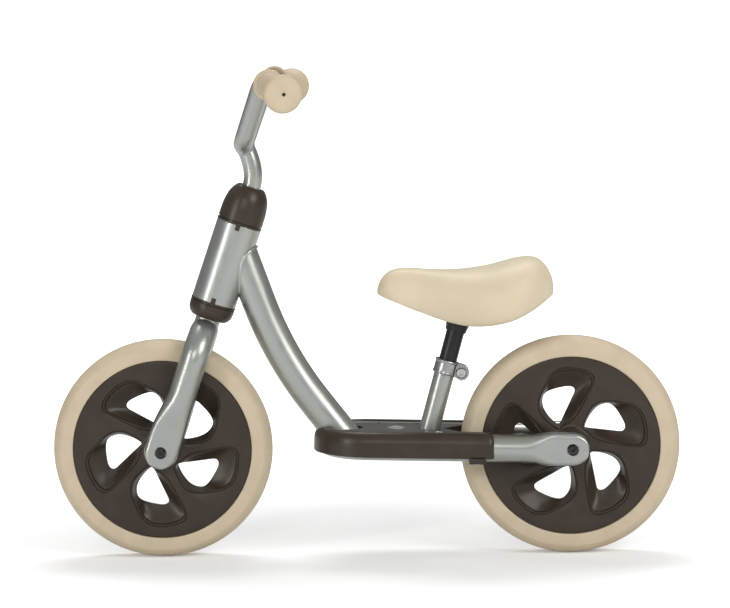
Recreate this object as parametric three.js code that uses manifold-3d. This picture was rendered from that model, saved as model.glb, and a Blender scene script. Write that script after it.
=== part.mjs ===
// Balance bike: a curved-tube frame with a footboard, two spoked wheels with foam
// tyres, a steered fork with a riser handlebar, and a saddle on a sliding post.
//
// Millimetres. +X points to the front wheel, +Y to the rider's left, +Z up.
// The origin is on the ground, midway between the two wheels.

import * as THREE from 'three';
import { mergeVertices } from 'three/addons/utils/BufferGeometryUtils.js';
import Module from 'manifold-3d';

const wasm = await Module();
wasm.setup();

// ---------------------------------------------------------------- driving sizes

const WHEEL_RADIUS = 127; // a 10 inch wheel
const WHEELBASE = 472;
const TYRE_WIDTH = 40;
const RIM_RADIUS = 103;

const HEAD_LEAN = THREE.MathUtils.degToRad(19); // steering axis, back from vertical
const FORK_LENGTH = 180; // from the head tube's lower end down to the axle
const FORK_RAKE = 2.6; // axle ahead of the steering axis
const HEAD_LENGTH = 95;
const HEAD_RADIUS = 26;

const BASE_LEAN = THREE.MathUtils.degToRad(1.35); // the base tube rises to the front
const SEAT_LEAN = THREE.MathUtils.degToRad(15.3);
const SEAT_FOOT = 167; // seat tube axis, ahead of the rear axle

const BASE_TUBE_RADIUS = 16;
const DOWN_TUBE_RADIUS = 19.5;
const BAR_RADIUS = 11.1;
const SEAT_TUBE_RADIUS = 11.9;
const SEAT_POST_RADIUS = 10.4;
const STEERER_RADIUS = 14.3;
const STEM_RADIUS = 10.6;

const FORK_LEG_Y = 38.5; // fork legs, each side of the middle
const BASE_LEG_Y = 46; // base tube legs, each side of the middle
const DROPOUT_THICKNESS = 17;
const DROPOUT_RADIUS = 19.6;
const GRIP_END_Y = 180; // the centre of each grip's outer end, from the middle

const GAP = 0.3; // left between pieces that touch

const AXLE_HEIGHT = WHEEL_RADIUS;
const FRONT_AXLE_X = WHEELBASE / 2;
const REAR_AXLE_X = -WHEELBASE / 2;

// ---------------------------------------------------------------- materials

const finish = (color, roughness, metalness) => () =>
  new THREE.MeshStandardMaterial({ color, roughness, metalness });

const silverPaint = finish(0xa6aba4, 0.35, 0.7);
const brownPlastic = finish(0x3f3832, 0.55, 0);
const creamFoam = finish(0xc9ba9c, 0.8, 0);
const creamRubber = finish(0xd9cbae, 0.6, 0);
const blackSteel = finish(0x1c1c1d, 0.45, 0.6);
const bareSteel = finish(0xb9bbbd, 0.3, 1);
const greyNylon = finish(0x8b8c8a, 0.6, 0);

// ---------------------------------------------------------------- solids

// A closed triangle mesh as a solid. Lathes leave flat triangles on their axis, which
// are dropped, and a shape wound inwards is turned round.
function solid(geometry) {
  const bare = geometry.clone();
  bare.deleteAttribute('normal');
  bare.deleteAttribute('uv');
  const welded = mergeVertices(bare, 1e-4);
  const points = welded.attributes.position.array;
  const corners = [];
  for (let i = 0; i < welded.index.count; i += 3) {
    const [a, b, c] = welded.index.array.slice(i, i + 3);
    if (a !== b && b !== c && c !== a) corners.push(a, b, c);
  }
  if (signedVolume(points, corners) < 0) corners.reverse();
  return new wasm.Manifold(new wasm.Mesh({
    numProp: 3,
    vertProperties: Float32Array.from(points),
    triVerts: Uint32Array.from(corners),
  }));
}

function signedVolume(points, corners) {
  let sum = 0;
  const vertex = (i) => new THREE.Vector3().fromArray(points, 3 * i);
  for (let i = 0; i < corners.length; i += 3) {
    const [a, b, c] = [vertex(corners[i]), vertex(corners[i + 1]), vertex(corners[i + 2])];
    sum += a.dot(b.cross(c));
  }
  return sum / 6;
}

function geometryOf(manifold) {
  const mesh = manifold.getMesh();
  const geometry = new THREE.BufferGeometry();
  geometry.setAttribute('position', new THREE.BufferAttribute(mesh.vertProperties, 3));
  geometry.setIndex(new THREE.BufferAttribute(mesh.triVerts, 1));
  return geometry;
}

const cut = (body, ...tools) => tools.reduce((left, tool) => left.subtract(tool), body);
const join = (...bodies) => bodies.reduce((sum, body) => sum.add(body));

function named(name, shape, material, place = {}) {
  const mesh = new THREE.Mesh(geometryOf(shape), material);
  mesh.name = name;
  if (place.position) mesh.position.set(...place.position);
  if (place.rotation) mesh.rotation.set(...place.rotation);
  return mesh;
}

// ---------------------------------------------------------------- basic shapes

// A profile of [radius, height] points turned about the Z axis.
function turned(profile, segments = 20) {
  const points = profile.map(([radius, height]) => new THREE.Vector2(radius, height));
  return solid(new THREE.LatheGeometry(points, segments).rotateX(Math.PI / 2));
}

function ring(inner, outer, low, high, segments = 20) {
  return turned([[inner, low], [outer, low], [outer, high], [inner, high], [inner, low]], segments);
}

function rod(radius, low, high, segments = 16) {
  return turned([[0, low], [radius, low], [radius, high], [0, high]], segments);
}

function block(sizeX, sizeY, sizeZ, centre = [0, 0, 0]) {
  return solid(new THREE.BoxGeometry(sizeX, sizeY, sizeZ).translate(...centre));
}

// Turns a solid's own Z axis to lie across the bike, along +Y.
const acrossY = (shape) => shape.rotate([-90, 0, 0]);

// A closed outline in X and Z, made `depth` thick about Y = 0.
function plate(outline, depth, curveSegments = 8) {
  const settings = { depth, bevelEnabled: false, curveSegments };
  const geometry = new THREE.ExtrudeGeometry(outline, settings);
  return solid(geometry.translate(0, 0, -depth / 2).rotateX(Math.PI / 2));
}

// ---------------------------------------------------------------- tubes

// A path whose sections sit exactly at the given stations, however they are spaced.
class StationPath extends THREE.Curve {
  constructor(stations) {
    super();
    this.stations = stations;
  }

  getPoint(t, target = new THREE.Vector3()) {
    const last = this.stations.length - 1;
    const place = THREE.MathUtils.clamp(t * last, 0, last);
    const index = Math.min(Math.floor(place), last - 1);
    return target.lerpVectors(this.stations[index], this.stations[index + 1], place - index);
  }

  getUtoTmapping(u) {
    return u;
  }
}

// Stations along straight runs whose corners are rounded to the bend radius.
function bentRoute(corners, bendRadius, stepDegrees = 15) {
  const points = corners.map((corner) => new THREE.Vector3(...corner));
  const stations = [points[0]];
  for (let i = 1; i < points.length - 1; i += 1) {
    stations.push(...roundedCorner(points[i - 1], points[i], points[i + 1], bendRadius, stepDegrees));
  }
  stations.push(points[points.length - 1]);
  return stations;
}

function roundedCorner(before, corner, after, bendRadius, stepDegrees) {
  const inward = before.clone().sub(corner).normalize();
  const outward = after.clone().sub(corner).normalize();
  const halfAngle = inward.angleTo(outward) / 2;
  const turn = Math.PI - 2 * halfAngle;
  const reach = bendRadius / Math.tan(halfAngle);
  const bisector = inward.clone().add(outward).normalize();
  const centre = corner.clone().addScaledVector(bisector, bendRadius / Math.sin(halfAngle));
  const start = corner.clone().addScaledVector(inward, reach).sub(centre);
  const axis = inward.clone().negate().cross(outward).normalize();
  const steps = Math.max(2, Math.round(THREE.MathUtils.radToDeg(turn) / stepDegrees));
  return Array.from({ length: steps + 1 }, (_, step) =>
    start.clone().applyAxisAngle(axis, (turn * step) / steps).add(centre));
}

// A round bar along the stations; `reshape` may then move its surface points.
function barAlong(stations, radius, sides = 16, reshape = null) {
  const section = new THREE.Shape();
  section.absarc(0, 0, radius, 0, 2 * Math.PI, false);
  const geometry = new THREE.ExtrudeGeometry(section, {
    steps: stations.length - 1,
    curveSegments: sides / 2,
    extrudePath: new StationPath(stations),
  });
  if (reshape) {
    const position = geometry.attributes.position;
    const point = new THREE.Vector3();
    for (let i = 0; i < position.count; i += 1) {
      reshape(point.fromBufferAttribute(position, i));
      position.setXYZ(i, point.x, point.y, point.z);
    }
  }
  return solid(geometry);
}

// Stations that the pressed end of a leg needs: flat near the axle, round further on.
const FLAT_LENGTH = 22;
const TAPER_LENGTH = 30;
const PRESS_STATIONS = [FLAT_LENGTH, FLAT_LENGTH + TAPER_LENGTH / 3, FLAT_LENGTH + (2 * TAPER_LENGTH) / 3,
  FLAT_LENGTH + TAPER_LENGTH];

// Presses a round leg flat across Y near its axle. `along` is the distance from the
// axle, `wide` the name of the coordinate that spreads as the leg is squeezed.
function pressLeg(point, legY, along, wide, wideCentre) {
  const press = 1 - THREE.MathUtils.smoothstep(along, FLAT_LENGTH, FLAT_LENGTH + TAPER_LENGTH);
  if (press === 0) return;
  const side = Math.sign(point.y);
  const off = Math.abs(point.y) - legY;
  const flatOff = THREE.MathUtils.clamp(off, -DROPOUT_THICKNESS / 2, DROPOUT_THICKNESS / 2);
  point.y = side * (legY + THREE.MathUtils.lerp(off, flatOff, press));
  const spread = THREE.MathUtils.lerp(1, DROPOUT_RADIUS / BASE_TUBE_RADIUS, press);
  point[wide] = wideCentre * press + point[wide] * spread;
}

// The round end of both pressed legs, with the screw's recess and the axle hole.
function dropoutEnds(legY, centre) {
  const disc = acrossY(rod(DROPOUT_RADIUS, -DROPOUT_THICKNESS / 2, DROPOUT_THICKNESS / 2, 24));
  return [-1, 1].map((side) => disc.translate([centre[0], side * legY, centre[1]]));
}

const AXLE_RADIUS = 4;
const SLEEVE_RADIUS = 6.5;
const SPACER_RADIUS = 7;
const SCREW_RADIUS = 5.6;
const SCREW_HEIGHT = 5.2;
const SCREW_SOCKET_RADIUS = 2.6;
const SCREW_SOCKET_DEPTH = 2.8;
const SCREW_RECESS_RADIUS = 6.6;
const SCREW_RECESS_DEPTH = 8;

function drillDropouts(shape, legY, centre) {
  const hole = acrossY(rod(AXLE_RADIUS + GAP, -100, 100)).translate([centre[0], 0, centre[1]]);
  const face = legY + DROPOUT_THICKNESS / 2;
  const recess = acrossY(rod(SCREW_RECESS_RADIUS, face - SCREW_RECESS_DEPTH, face + 5));
  const otherRecess = acrossY(rod(SCREW_RECESS_RADIUS, -face - 5, -face + SCREW_RECESS_DEPTH));
  const at = [centre[0], 0, centre[1]];
  return cut(shape, hole, recess.translate(at), otherRecess.translate(at));
}

// ---------------------------------------------------------------- axles and wheels

const WHEEL_SEGMENTS = 32;
const CHANNEL_RADIUS = RIM_RADIUS - 9; // floor of the channel that the tyre sits in
const CHANNEL_HALF = 13;
const HUB_HALF_WIDTH = 27.5;
const BEARING_RADIUS = 11;
const BEARING_WIDTH = 7;

// A threaded axle rod held by a socket screw in each leg, with a spacer tube from each
// leg to the wheel's bearing.
function axleSet(prefix, legY) {
  const inner = legY - DROPOUT_THICKNESS / 2;
  const screwSeat = legY + DROPOUT_THICKNESS / 2 - SCREW_RECESS_DEPTH;
  const rodEnd = screwSeat - GAP;
  const set = new THREE.Group();
  set.add(named(`${prefix}_axle`, acrossY(rod(AXLE_RADIUS, -rodEnd, rodEnd)), bareSteel()));
  for (const [side, label] of [[1, 'left'], [-1, 'right']]) {
    const spacer = ring(AXLE_RADIUS + GAP, SPACER_RADIUS, HUB_HALF_WIDTH + GAP, inner - GAP, 16);
    const head = rod(SCREW_RADIUS, screwSeat + GAP, screwSeat + SCREW_HEIGHT);
    const socketFloor = screwSeat + SCREW_HEIGHT - SCREW_SOCKET_DEPTH;
    const socket = rod(SCREW_SOCKET_RADIUS, socketFloor, socketFloor + 2 * SCREW_HEIGHT, 6);
    const turn = side > 0 ? [0, 0, 0] : [0, 0, Math.PI];
    set.add(named(`${prefix}_axle_spacer_${label}`, acrossY(spacer), bareSteel(), { rotation: turn }));
    const screw = acrossY(cut(head, socket));
    set.add(named(`${prefix}_axle_screw_${label}`, screw, blackSteel(), { rotation: turn }));
  }
  return set;
}

// Foam tyre: a solid ring with round shoulders, seated in the rim's channel.
function tyreSolid() {
  const half = TYRE_WIDTH / 2;
  const shoulder = 14;
  const shoulderSteps = 3;
  const outer = [];
  for (let step = 0; step <= shoulderSteps; step += 1) {
    const angle = (Math.PI / 2) * (step / shoulderSteps);
    const radius = WHEEL_RADIUS - shoulder * (1 - Math.sin(angle));
    outer.push([radius, half - shoulder * (1 - Math.cos(angle))]);
  }
  const foot = CHANNEL_HALF - GAP;
  const seat = [[CHANNEL_RADIUS + GAP, foot], [RIM_RADIUS + GAP, foot], [RIM_RADIUS + GAP, half]];
  const upper = [...seat, ...outer];
  const lower = upper.map(([radius, height]) => [radius, -height]).reverse();
  return acrossY(turned([...upper, ...lower, upper[0]], WHEEL_SEGMENTS));
}

// One wheel opening: a rounded triangle with its point near the hub, leaning round
// the wheel, as [distance from the hub, angle in degrees] corners.
const SPOKES = 5;
const OPENING_TURN = 60; // degrees from the front to the first opening's point
const OPENING_CORNERS = [[20, -6], [57, 6], [70, -8], [72, -36], [60, -44]];

function openingOutline() {
  const corners = OPENING_CORNERS.map(([radius, degrees]) => {
    const angle = THREE.MathUtils.degToRad(degrees);
    return new THREE.Vector2(radius * Math.cos(angle), radius * Math.sin(angle));
  });
  const outline = new THREE.Shape();
  const count = corners.length;
  const middle = (i) => corners[i % count].clone().add(corners[(i + 1) % count]).multiplyScalar(0.5);
  const start = middle(count - 1);
  outline.moveTo(start.x, start.y);
  for (let i = 0; i < count; i += 1) {
    const end = middle(i);
    outline.quadraticCurveTo(corners[i].x, corners[i].y, end.x, end.y);
  }
  return outline;
}

const HUB_BARREL_RADIUS = 21;
const RIM_EDGE_WIDTH = 8; // the raised edge next to the tyre
const RIM_SLOPE_WIDTH = 4; // from the raised edge down to the web
const RIM_WEB_DROP = 4;

// Rim: a channel that holds the tyre, a thinner web with five openings, and a hub barrel.
function rimSolid() {
  const edge = TYRE_WIDTH / 2 - 0.4;
  const web = edge - RIM_WEB_DROP;
  const barrel = HUB_HALF_WIDTH - 1;
  const bore = BEARING_RADIUS + GAP;
  const edgeFoot = RIM_RADIUS - RIM_EDGE_WIDTH;
  const upper = [
    [bore, barrel], [HUB_BARREL_RADIUS, barrel], [HUB_BARREL_RADIUS, web],
    [edgeFoot - RIM_SLOPE_WIDTH, web], [edgeFoot, edge],
    [RIM_RADIUS, edge], [RIM_RADIUS, CHANNEL_HALF], [CHANNEL_RADIUS, CHANNEL_HALF],
  ];
  const lower = upper.map(([radius, height]) => [radius, -height]).reverse();
  const whole = acrossY(turned([...upper, ...lower, upper[0]], WHEEL_SEGMENTS));
  const opening = plate(openingOutline(), 3 * TYRE_WIDTH, 2);
  const openings = Array.from({ length: SPOKES }, (_, i) =>
    opening.rotate([0, OPENING_TURN + (360 / SPOKES) * i, 0]));
  return cut(whole, ...openings);
}

// The two wheels are alike, but the rear one faces the other way round.
function wheel(prefix, x, facing) {
  const group = new THREE.Group();
  group.position.set(x, 0, AXLE_HEIGHT);
  group.add(named(`${prefix}_tyre`, tyreSolid(), creamFoam()));
  group.add(named(`${prefix}_rim`, rimSolid(), brownPlastic(), { rotation: [facing, 0, 0] }));
  const bore = AXLE_RADIUS + GAP;
  const bearingFoot = HUB_HALF_WIDTH - BEARING_WIDTH;
  const bearing = acrossY(ring(bore, BEARING_RADIUS, bearingFoot, HUB_HALF_WIDTH));
  const sleeveEnd = bearingFoot - GAP;
  const sleeve = acrossY(ring(bore, SLEEVE_RADIUS, -sleeveEnd, sleeveEnd, 16));
  group.add(named(`${prefix}_bearing_left`, bearing, bareSteel()));
  group.add(named(`${prefix}_bearing_right`, bearing, bareSteel(), { rotation: [0, 0, Math.PI] }));
  group.add(named(`${prefix}_bearing_sleeve`, sleeve, bareSteel()));
  return group;
}

// ---------------------------------------------------------------- base frame

// Along the base: X forward from the rear axle, Z up from the axle line.
const base = new THREE.Group();
base.position.set(REAR_AXLE_X, 0, AXLE_HEIGHT);
base.rotation.y = -BASE_LEAN;

const NOSE_CENTRE = 279; // middle of the base tube's front bend, ahead of the rear axle

function baseRoute() {
  const bend = BASE_LEG_Y - 0.01;
  const turns = bentRoute([[0, BASE_LEG_Y, 0], [NOSE_CENTRE, BASE_LEG_Y, 0], [NOSE_CENTRE, -BASE_LEG_Y, 0],
    [0, -BASE_LEG_Y, 0]], bend, 22.5);
  const leg = (sign) => PRESS_STATIONS.map((along) => new THREE.Vector3(along, sign * BASE_LEG_Y, 0));
  return [turns[0], ...leg(1), ...turns.slice(1, -1), ...leg(-1).reverse(), turns[turns.length - 1]];
}

function baseTube() {
  const press = (point) => pressLeg(point, BASE_LEG_Y, point.x, 'z', 0);
  const tube = barAlong(baseRoute(), BASE_TUBE_RADIUS, 16, press);
  return drillDropouts(join(tube, ...dropoutEnds(BASE_LEG_Y, [0, 0])), BASE_LEG_Y, [0, 0]);
}

const BRIDGE_THICKNESS = 4;
const BRIDGE_HALF_WIDTH = BASE_LEG_Y - BASE_TUBE_RADIUS + 3.5;

function bridge(length, centreX, centreZ) {
  const bar = block(length, 2 * BRIDGE_HALF_WIDTH, BRIDGE_THICKNESS, [centreX, 0, centreZ]);
  return cut(bar, barAlong(baseRoute(), BASE_TUBE_RADIUS + GAP));
}

// ---------------------------------------------------------------- footboard

const BOARD_TOP = 18;
const BOARD_HALF_WIDTH = 65;
const BOARD_NOSE_CENTRE = 232;
const BOARD_REAR = 90;
const BOARD_SKIRT = -10.5;
const BOARD_WALL = 2.4;
const BOARD_ROUND = 14;
const WHEEL_SLOT_FRONT = 147;
const WHEEL_SLOT_SHOULDER = 127;
const WHEEL_SLOT_HALF = 25;
const WHEEL_SLOT_TIP = 3;
const BOARD_HOLE = 202;
const BOARD_HOLE_RADIUS = 10.5;
const TOP_SCREW = [153, 40];
const TAB_SCREW = [109, 56];
const TAB_LOW = BOARD_SKIRT - 6;

// Plan outline: two straight sides, a round nose, and a slot for the rear tyre that
// narrows to a blunt V at its front.
function boardPlan(halfWidth, rear = BOARD_REAR, slotGrowth = 0) {
  const slotHalf = WHEEL_SLOT_HALF + slotGrowth;
  const slotFront = WHEEL_SLOT_FRONT + slotGrowth;
  const plan = new THREE.Shape();
  plan.moveTo(rear, halfWidth);
  plan.lineTo(BOARD_NOSE_CENTRE, halfWidth);
  plan.absarc(BOARD_NOSE_CENTRE, 0, halfWidth, Math.PI / 2, -Math.PI / 2, true);
  plan.lineTo(rear, -halfWidth);
  plan.lineTo(rear, -slotHalf);
  plan.lineTo(WHEEL_SLOT_SHOULDER, -slotHalf);
  plan.lineTo(slotFront, -WHEEL_SLOT_TIP);
  plan.lineTo(slotFront, WHEEL_SLOT_TIP);
  plan.lineTo(WHEEL_SLOT_SHOULDER, slotHalf);
  plan.lineTo(rear, slotHalf);
  plan.closePath();
  return plan;
}

// A plan outline made thick from `low` up to `high`.
function planSolid(plan, low, high, curveSegments = 6) {
  const settings = { depth: high - low, bevelEnabled: false, curveSegments };
  return solid(new THREE.ExtrudeGeometry(plan, settings).translate(0, 0, low));
}

// The board's skin rounds over from its top into its skirt in steps of a quarter circle.
function boardSkin() {
  const steps = 2;
  const layers = [planSolid(boardPlan(BOARD_HALF_WIDTH), BOARD_SKIRT, BOARD_TOP - BOARD_ROUND)];
  for (let step = 1; step <= steps; step += 1) {
    const angle = (Math.PI / 2) * (step / steps);
    const inset = BOARD_ROUND * (1 - Math.cos(angle - Math.PI / (4 * steps)));
    const top = BOARD_TOP - BOARD_ROUND * (1 - Math.sin(angle));
    layers.push(planSolid(boardPlan(BOARD_HALF_WIDTH - inset), BOARD_SKIRT, top));
  }
  return join(...layers);
}

const BOARD_PLATE = 3; // the board's top, between the base tube's legs

// A moulded tray turned upside down over the base tube, held by a screw at each corner.
function footboardSolid(downTubeRoom, seatTubeRoom) {
  const roomRear = BOARD_REAR - 5; // the rooms run out through the board's open rear end
  const roomLow = BOARD_SKIRT - 1;
  const skirtPlan = boardPlan(BOARD_HALF_WIDTH - BOARD_WALL, roomRear, BOARD_WALL);
  const skirtRoom = planSolid(skirtPlan, roomLow, 0);
  const middlePlan = boardPlan(BASE_LEG_Y, roomRear, BOARD_WALL);
  const middleRoom = planSolid(middlePlan, roomLow, BOARD_TOP - BOARD_PLATE);
  const tubeRoom = barAlong(baseRoute(), BASE_TUBE_RADIUS + 2 * GAP);
  const hole = rod(BOARD_HOLE_RADIUS, 0, 40, 20).translate([BOARD_HOLE, 0, 0]);
  const tabs = [-1, 1].map((side) =>
    block(20, 14, 6 + GAP, [TAB_SCREW[0], side * (BOARD_HALF_WIDTH - 7), TAB_LOW + 3 + GAP / 2]));
  return cut(join(boardSkin(), ...tabs), skirtRoom.subtract(join(...tabs)), middleRoom, tubeRoom, hole,
    downTubeRoom, seatTubeRoom);
}

// A plain round cap that fills the hole in the footboard, level with its tread.
function footboardDisc() {
  const cap = rod(BOARD_HOLE_RADIUS - GAP, BOARD_TOP - 3, BOARD_TOP, 20);
  return cap.translate([BOARD_HOLE, 0, 0]);
}

// ---------------------------------------------------------------- head and steering

// Along the steering axis: Z up the axis from the head tube's lower end, X forward.
const HEAD_BASE = new THREE.Vector3(
  FRONT_AXLE_X - FORK_LENGTH * Math.sin(HEAD_LEAN) - FORK_RAKE * Math.cos(HEAD_LEAN),
  0,
  AXLE_HEIGHT + FORK_LENGTH * Math.cos(HEAD_LEAN) - FORK_RAKE * Math.sin(HEAD_LEAN),
);
const HEAD_LEAN_DEGREES = THREE.MathUtils.radToDeg(HEAD_LEAN);

const steering = new THREE.Group();
steering.position.copy(HEAD_BASE);
steering.rotation.y = -HEAD_LEAN;

// Moves a solid from the steering axis' own coordinates to the ground's, for cutting.
const fromSteering = (shape) => shape.rotate([0, -HEAD_LEAN_DEGREES, 0]).translate(HEAD_BASE.toArray());

const HEAD_BORE = 18;
const NOTCH_WIDTH = 5.5;
const NOTCH_DEPTH = 6.5;
const CROWN_HEIGHT = -36; // middle of the fork's crown bend, below the head tube
const CROWN_BEND = 34;
const CAP_HEIGHT = 45;

function headTube() {
  const tube = ring(HEAD_BORE, HEAD_RADIUS, 0, HEAD_LENGTH, 32);
  const notch = block(NOTCH_WIDTH, 80, 2 * NOTCH_DEPTH);
  return cut(tube, notch, notch.translate([0, 0, HEAD_LENGTH]));
}

// Keys on a cap that sit in the head tube's notches, one on each side.
function capKeys(low, high) {
  const reach = HEAD_RADIUS - HEAD_BORE - 1;
  const middle = HEAD_BORE + 0.7 + reach / 2;
  return [-1, 1].map((side) =>
    block(NOTCH_WIDTH - 2 * GAP, reach, high - low, [0, side * middle, (low + high) / 2]));
}

function upperCap() {
  const base = HEAD_LENGTH + GAP;
  const outside = [[26.2, 0], [26, 16], [25.1, 24], [22.7, 33.5], [18.6, 42], [15.6, CAP_HEIGHT - GAP]];
  const inside = [[12.6, CAP_HEIGHT - GAP], [12.6, CAP_HEIGHT - 3], [16.4, CAP_HEIGHT - 5.4], [19.7, 32.3],
    [22, 22.5], [22.6, 15], [22.6, 0]];
  const profile = [...outside, ...inside, outside[0]].map(([radius, height]) => [radius, base + height]);
  return join(turned(profile), ...capKeys(HEAD_LENGTH - NOTCH_DEPTH + GAP, HEAD_LENGTH + 2));
}

function lowerCap() {
  const outside = [[26.4, -GAP], [26.4, -9], [25.5, -12.5], [23.2, -16.5], [20, -19.6]];
  const inside = [[18.4, -19.6], [18.4, -17.8], [20.6, -15.8], [22.4, -11.6], [22.8, -8], [22.8, -GAP]];
  const keys = capKeys(-2, NOTCH_DEPTH - GAP);
  return join(turned([...outside, ...inside, outside[0]]), ...keys);
}

const BUSHING_FLANGE_RADIUS = 21.8;
const BUSHING_FLANGE = 4; // outside the head tube
const BUSHING_REACH = 13; // inside the head tube

// A flanged bushing at one mouth of the head tube; `inward` is the way into the tube.
function headBushing(mouth, inward) {
  const edge = mouth - GAP * inward;
  const flange = edge - BUSHING_FLANGE * inward;
  const end = edge + BUSHING_REACH * inward;
  const bore = STEERER_RADIUS + GAP;
  const profile = [
    [bore, flange], [BUSHING_FLANGE_RADIUS, flange], [BUSHING_FLANGE_RADIUS, edge],
    [HEAD_BORE - GAP, edge], [HEAD_BORE - GAP, end], [bore, end], [bore, flange],
  ];
  const keyRoom = block(NOTCH_WIDTH + 1, 4 * HEAD_RADIUS, 24, [0, 0, mouth]);
  return cut(turned(profile), cut(keyRoom, rod(HEAD_BORE, -200, 200)));
}

function forkRoute() {
  const legEnd = -FORK_LENGTH;
  const turns = bentRoute([[0, FORK_LEG_Y, legEnd], [0, FORK_LEG_Y, CROWN_HEIGHT],
    [0, -FORK_LEG_Y, CROWN_HEIGHT], [0, -FORK_LEG_Y, legEnd]], CROWN_BEND, 22.5);
  const leg = (sign) => PRESS_STATIONS.map((along) =>
    new THREE.Vector3(0, sign * FORK_LEG_Y, legEnd + along));
  return [turns[0], ...leg(1), ...turns.slice(1, -1), ...leg(-1).reverse(), turns[turns.length - 1]];
}

function forkSolid() {
  const press = (point) => pressLeg(point, FORK_LEG_Y, point.z + FORK_LENGTH, 'x', FORK_RAKE);
  const axle = [FORK_RAKE, -FORK_LENGTH];
  const tube = barAlong(forkRoute(), BASE_TUBE_RADIUS, 16, press);
  return drillDropouts(join(tube, ...dropoutEnds(FORK_LEG_Y, axle)), FORK_LEG_Y, axle);
}

const STEERER_TOP = 118;

function steererTube() {
  const crownRoom = barAlong(forkRoute(), BASE_TUBE_RADIUS + GAP);
  return cut(ring(STEM_RADIUS + GAP, STEERER_RADIUS, CROWN_HEIGHT, STEERER_TOP), crownRoom);
}

function crownRace() {
  return ring(STEERER_RADIUS + GAP, 20, -12, -4.9);
}

const CLAMP_LOW = 100;
const CLAMP_HIGH = 114;
const CLAMP_BOLT_X = -18.4;
const CLAMP_MIDDLE = (CLAMP_LOW + CLAMP_HIGH) / 2;

function steererClamp() {
  const band = ring(STEERER_RADIUS + GAP, 17.6, CLAMP_LOW, CLAMP_HIGH);
  const ears = block(6, 12, CLAMP_HIGH - CLAMP_LOW, [-18, 0, CLAMP_MIDDLE]);
  const slot = block(12, 2.4, 60, [-18, 0, CLAMP_MIDDLE]);
  const boltHole = acrossY(rod(1.8, -20, 20)).translate([CLAMP_BOLT_X, 0, CLAMP_MIDDLE]);
  return cut(join(band, cut(ears, rod(STEERER_RADIUS + 1, 0, 200))), slot, boltHole);
}

function clampBolt() {
  const shank = rod(1.4, -6, 7);
  const head = rod(2.2, 6.3, 7.6);
  return acrossY(join(shank, head)).translate([CLAMP_BOLT_X, 0, CLAMP_MIDDLE]);
}

// ---------------------------------------------------------------- handlebar

const BAR_FORWARD = 24; // the bar's middle ahead of the steering axis
const BAR_LOW = 184;
const BAR_HIGH = 261.2;
const BAR_FOOT_Y = 26;
const BAR_SHOULDER_Y = 62;
const BAR_END = [-6, GRIP_END_Y, 258.7]; // the bar's line runs on to the grip's end
const BAR_BEND = 26;
const BAR_SHORT = 9; // how far short of that the bar itself stops
const GRIP_LENGTH = 88;

function barRoute(sign) {
  const [endX, endY, endZ] = BAR_END;
  return [[BAR_FORWARD, sign * BAR_FOOT_Y, BAR_LOW], [BAR_FORWARD, sign * BAR_SHOULDER_Y, BAR_HIGH],
    [endX, sign * endY, endZ]];
}

// The bar stops short of the grip's closed end.
function shortened(route, amount) {
  const last = new THREE.Vector3(...route[route.length - 1]);
  const before = new THREE.Vector3(...route[route.length - 2]);
  const back = before.sub(last).setLength(amount);
  return [...route.slice(0, -1), last.add(back).toArray()];
}

function handlebarStations() {
  const left = shortened(barRoute(1), BAR_SHORT);
  const right = shortened(barRoute(-1), BAR_SHORT);
  return bentRoute([...right.reverse(), ...left], BAR_BEND, 22.5);
}

function stemSolid() {
  const bend = new THREE.QuadraticBezierCurve3(new THREE.Vector3(0, 0, 139), new THREE.Vector3(0, 0, 161),
    new THREE.Vector3(BAR_FORWARD, 0, BAR_LOW));
  const stations = [new THREE.Vector3(0, 0, 60), ...bend.getPoints(5)];
  const barRoom = barAlong(handlebarStations(), BAR_RADIUS + GAP, 14);
  return cut(barAlong(stations, STEM_RADIUS, 14), barRoom);
}

// Soft grip: an inner flange, a slim barrel and a big rounded end with a vent hole.
function gripSolid() {
  const bore = BAR_RADIUS + GAP;
  const outside = [[bore, 0], [17, 0], [17, 4], [15, 6], [15, 64], [19.6, 76], [20.7, 81], [19.6, 85.5],
    [14, GRIP_LENGTH]];
  const inside = [[2, GRIP_LENGTH], [2, GRIP_LENGTH - 7], [bore, GRIP_LENGTH - 7], [bore, 0]];
  return turned([...outside, ...inside]);
}

function grip(label, sign) {
  const route = barRoute(sign).map((corner) => new THREE.Vector3(...corner));
  const end = route[2];
  const outward = end.clone().sub(route[1]).normalize();
  const mesh = named(`grip_${label}`, gripSolid(), creamRubber());
  mesh.position.copy(end).addScaledVector(outward, -GRIP_LENGTH);
  mesh.quaternion.setFromUnitVectors(new THREE.Vector3(0, 0, 1), outward);
  return mesh;
}

// ---------------------------------------------------------------- down tube

const DOWN_TOP = new THREE.Vector3(149.5, 0, 369.7);
const DOWN_CORNER = new THREE.Vector3(99.4, 0, 231.8);
const DOWN_FOOT = new THREE.Vector3(17.5, 0, 126);
const DOWN_BEND = 420;

function downRoute() {
  return bentRoute([DOWN_TOP.toArray(), DOWN_CORNER.toArray(), DOWN_FOOT.toArray()], DOWN_BEND, 3);
}

const toGround = (shape) => shape.rotate([0, -THREE.MathUtils.radToDeg(BASE_LEAN), 0])
  .translate([REAR_AXLE_X, 0, AXLE_HEIGHT]);
const fromGround = (shape) => shape.translate([-REAR_AXLE_X, 0, -AXLE_HEIGHT])
  .rotate([0, THREE.MathUtils.radToDeg(BASE_LEAN), 0]);

const DOWN_TUBE_END = -11;

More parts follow.
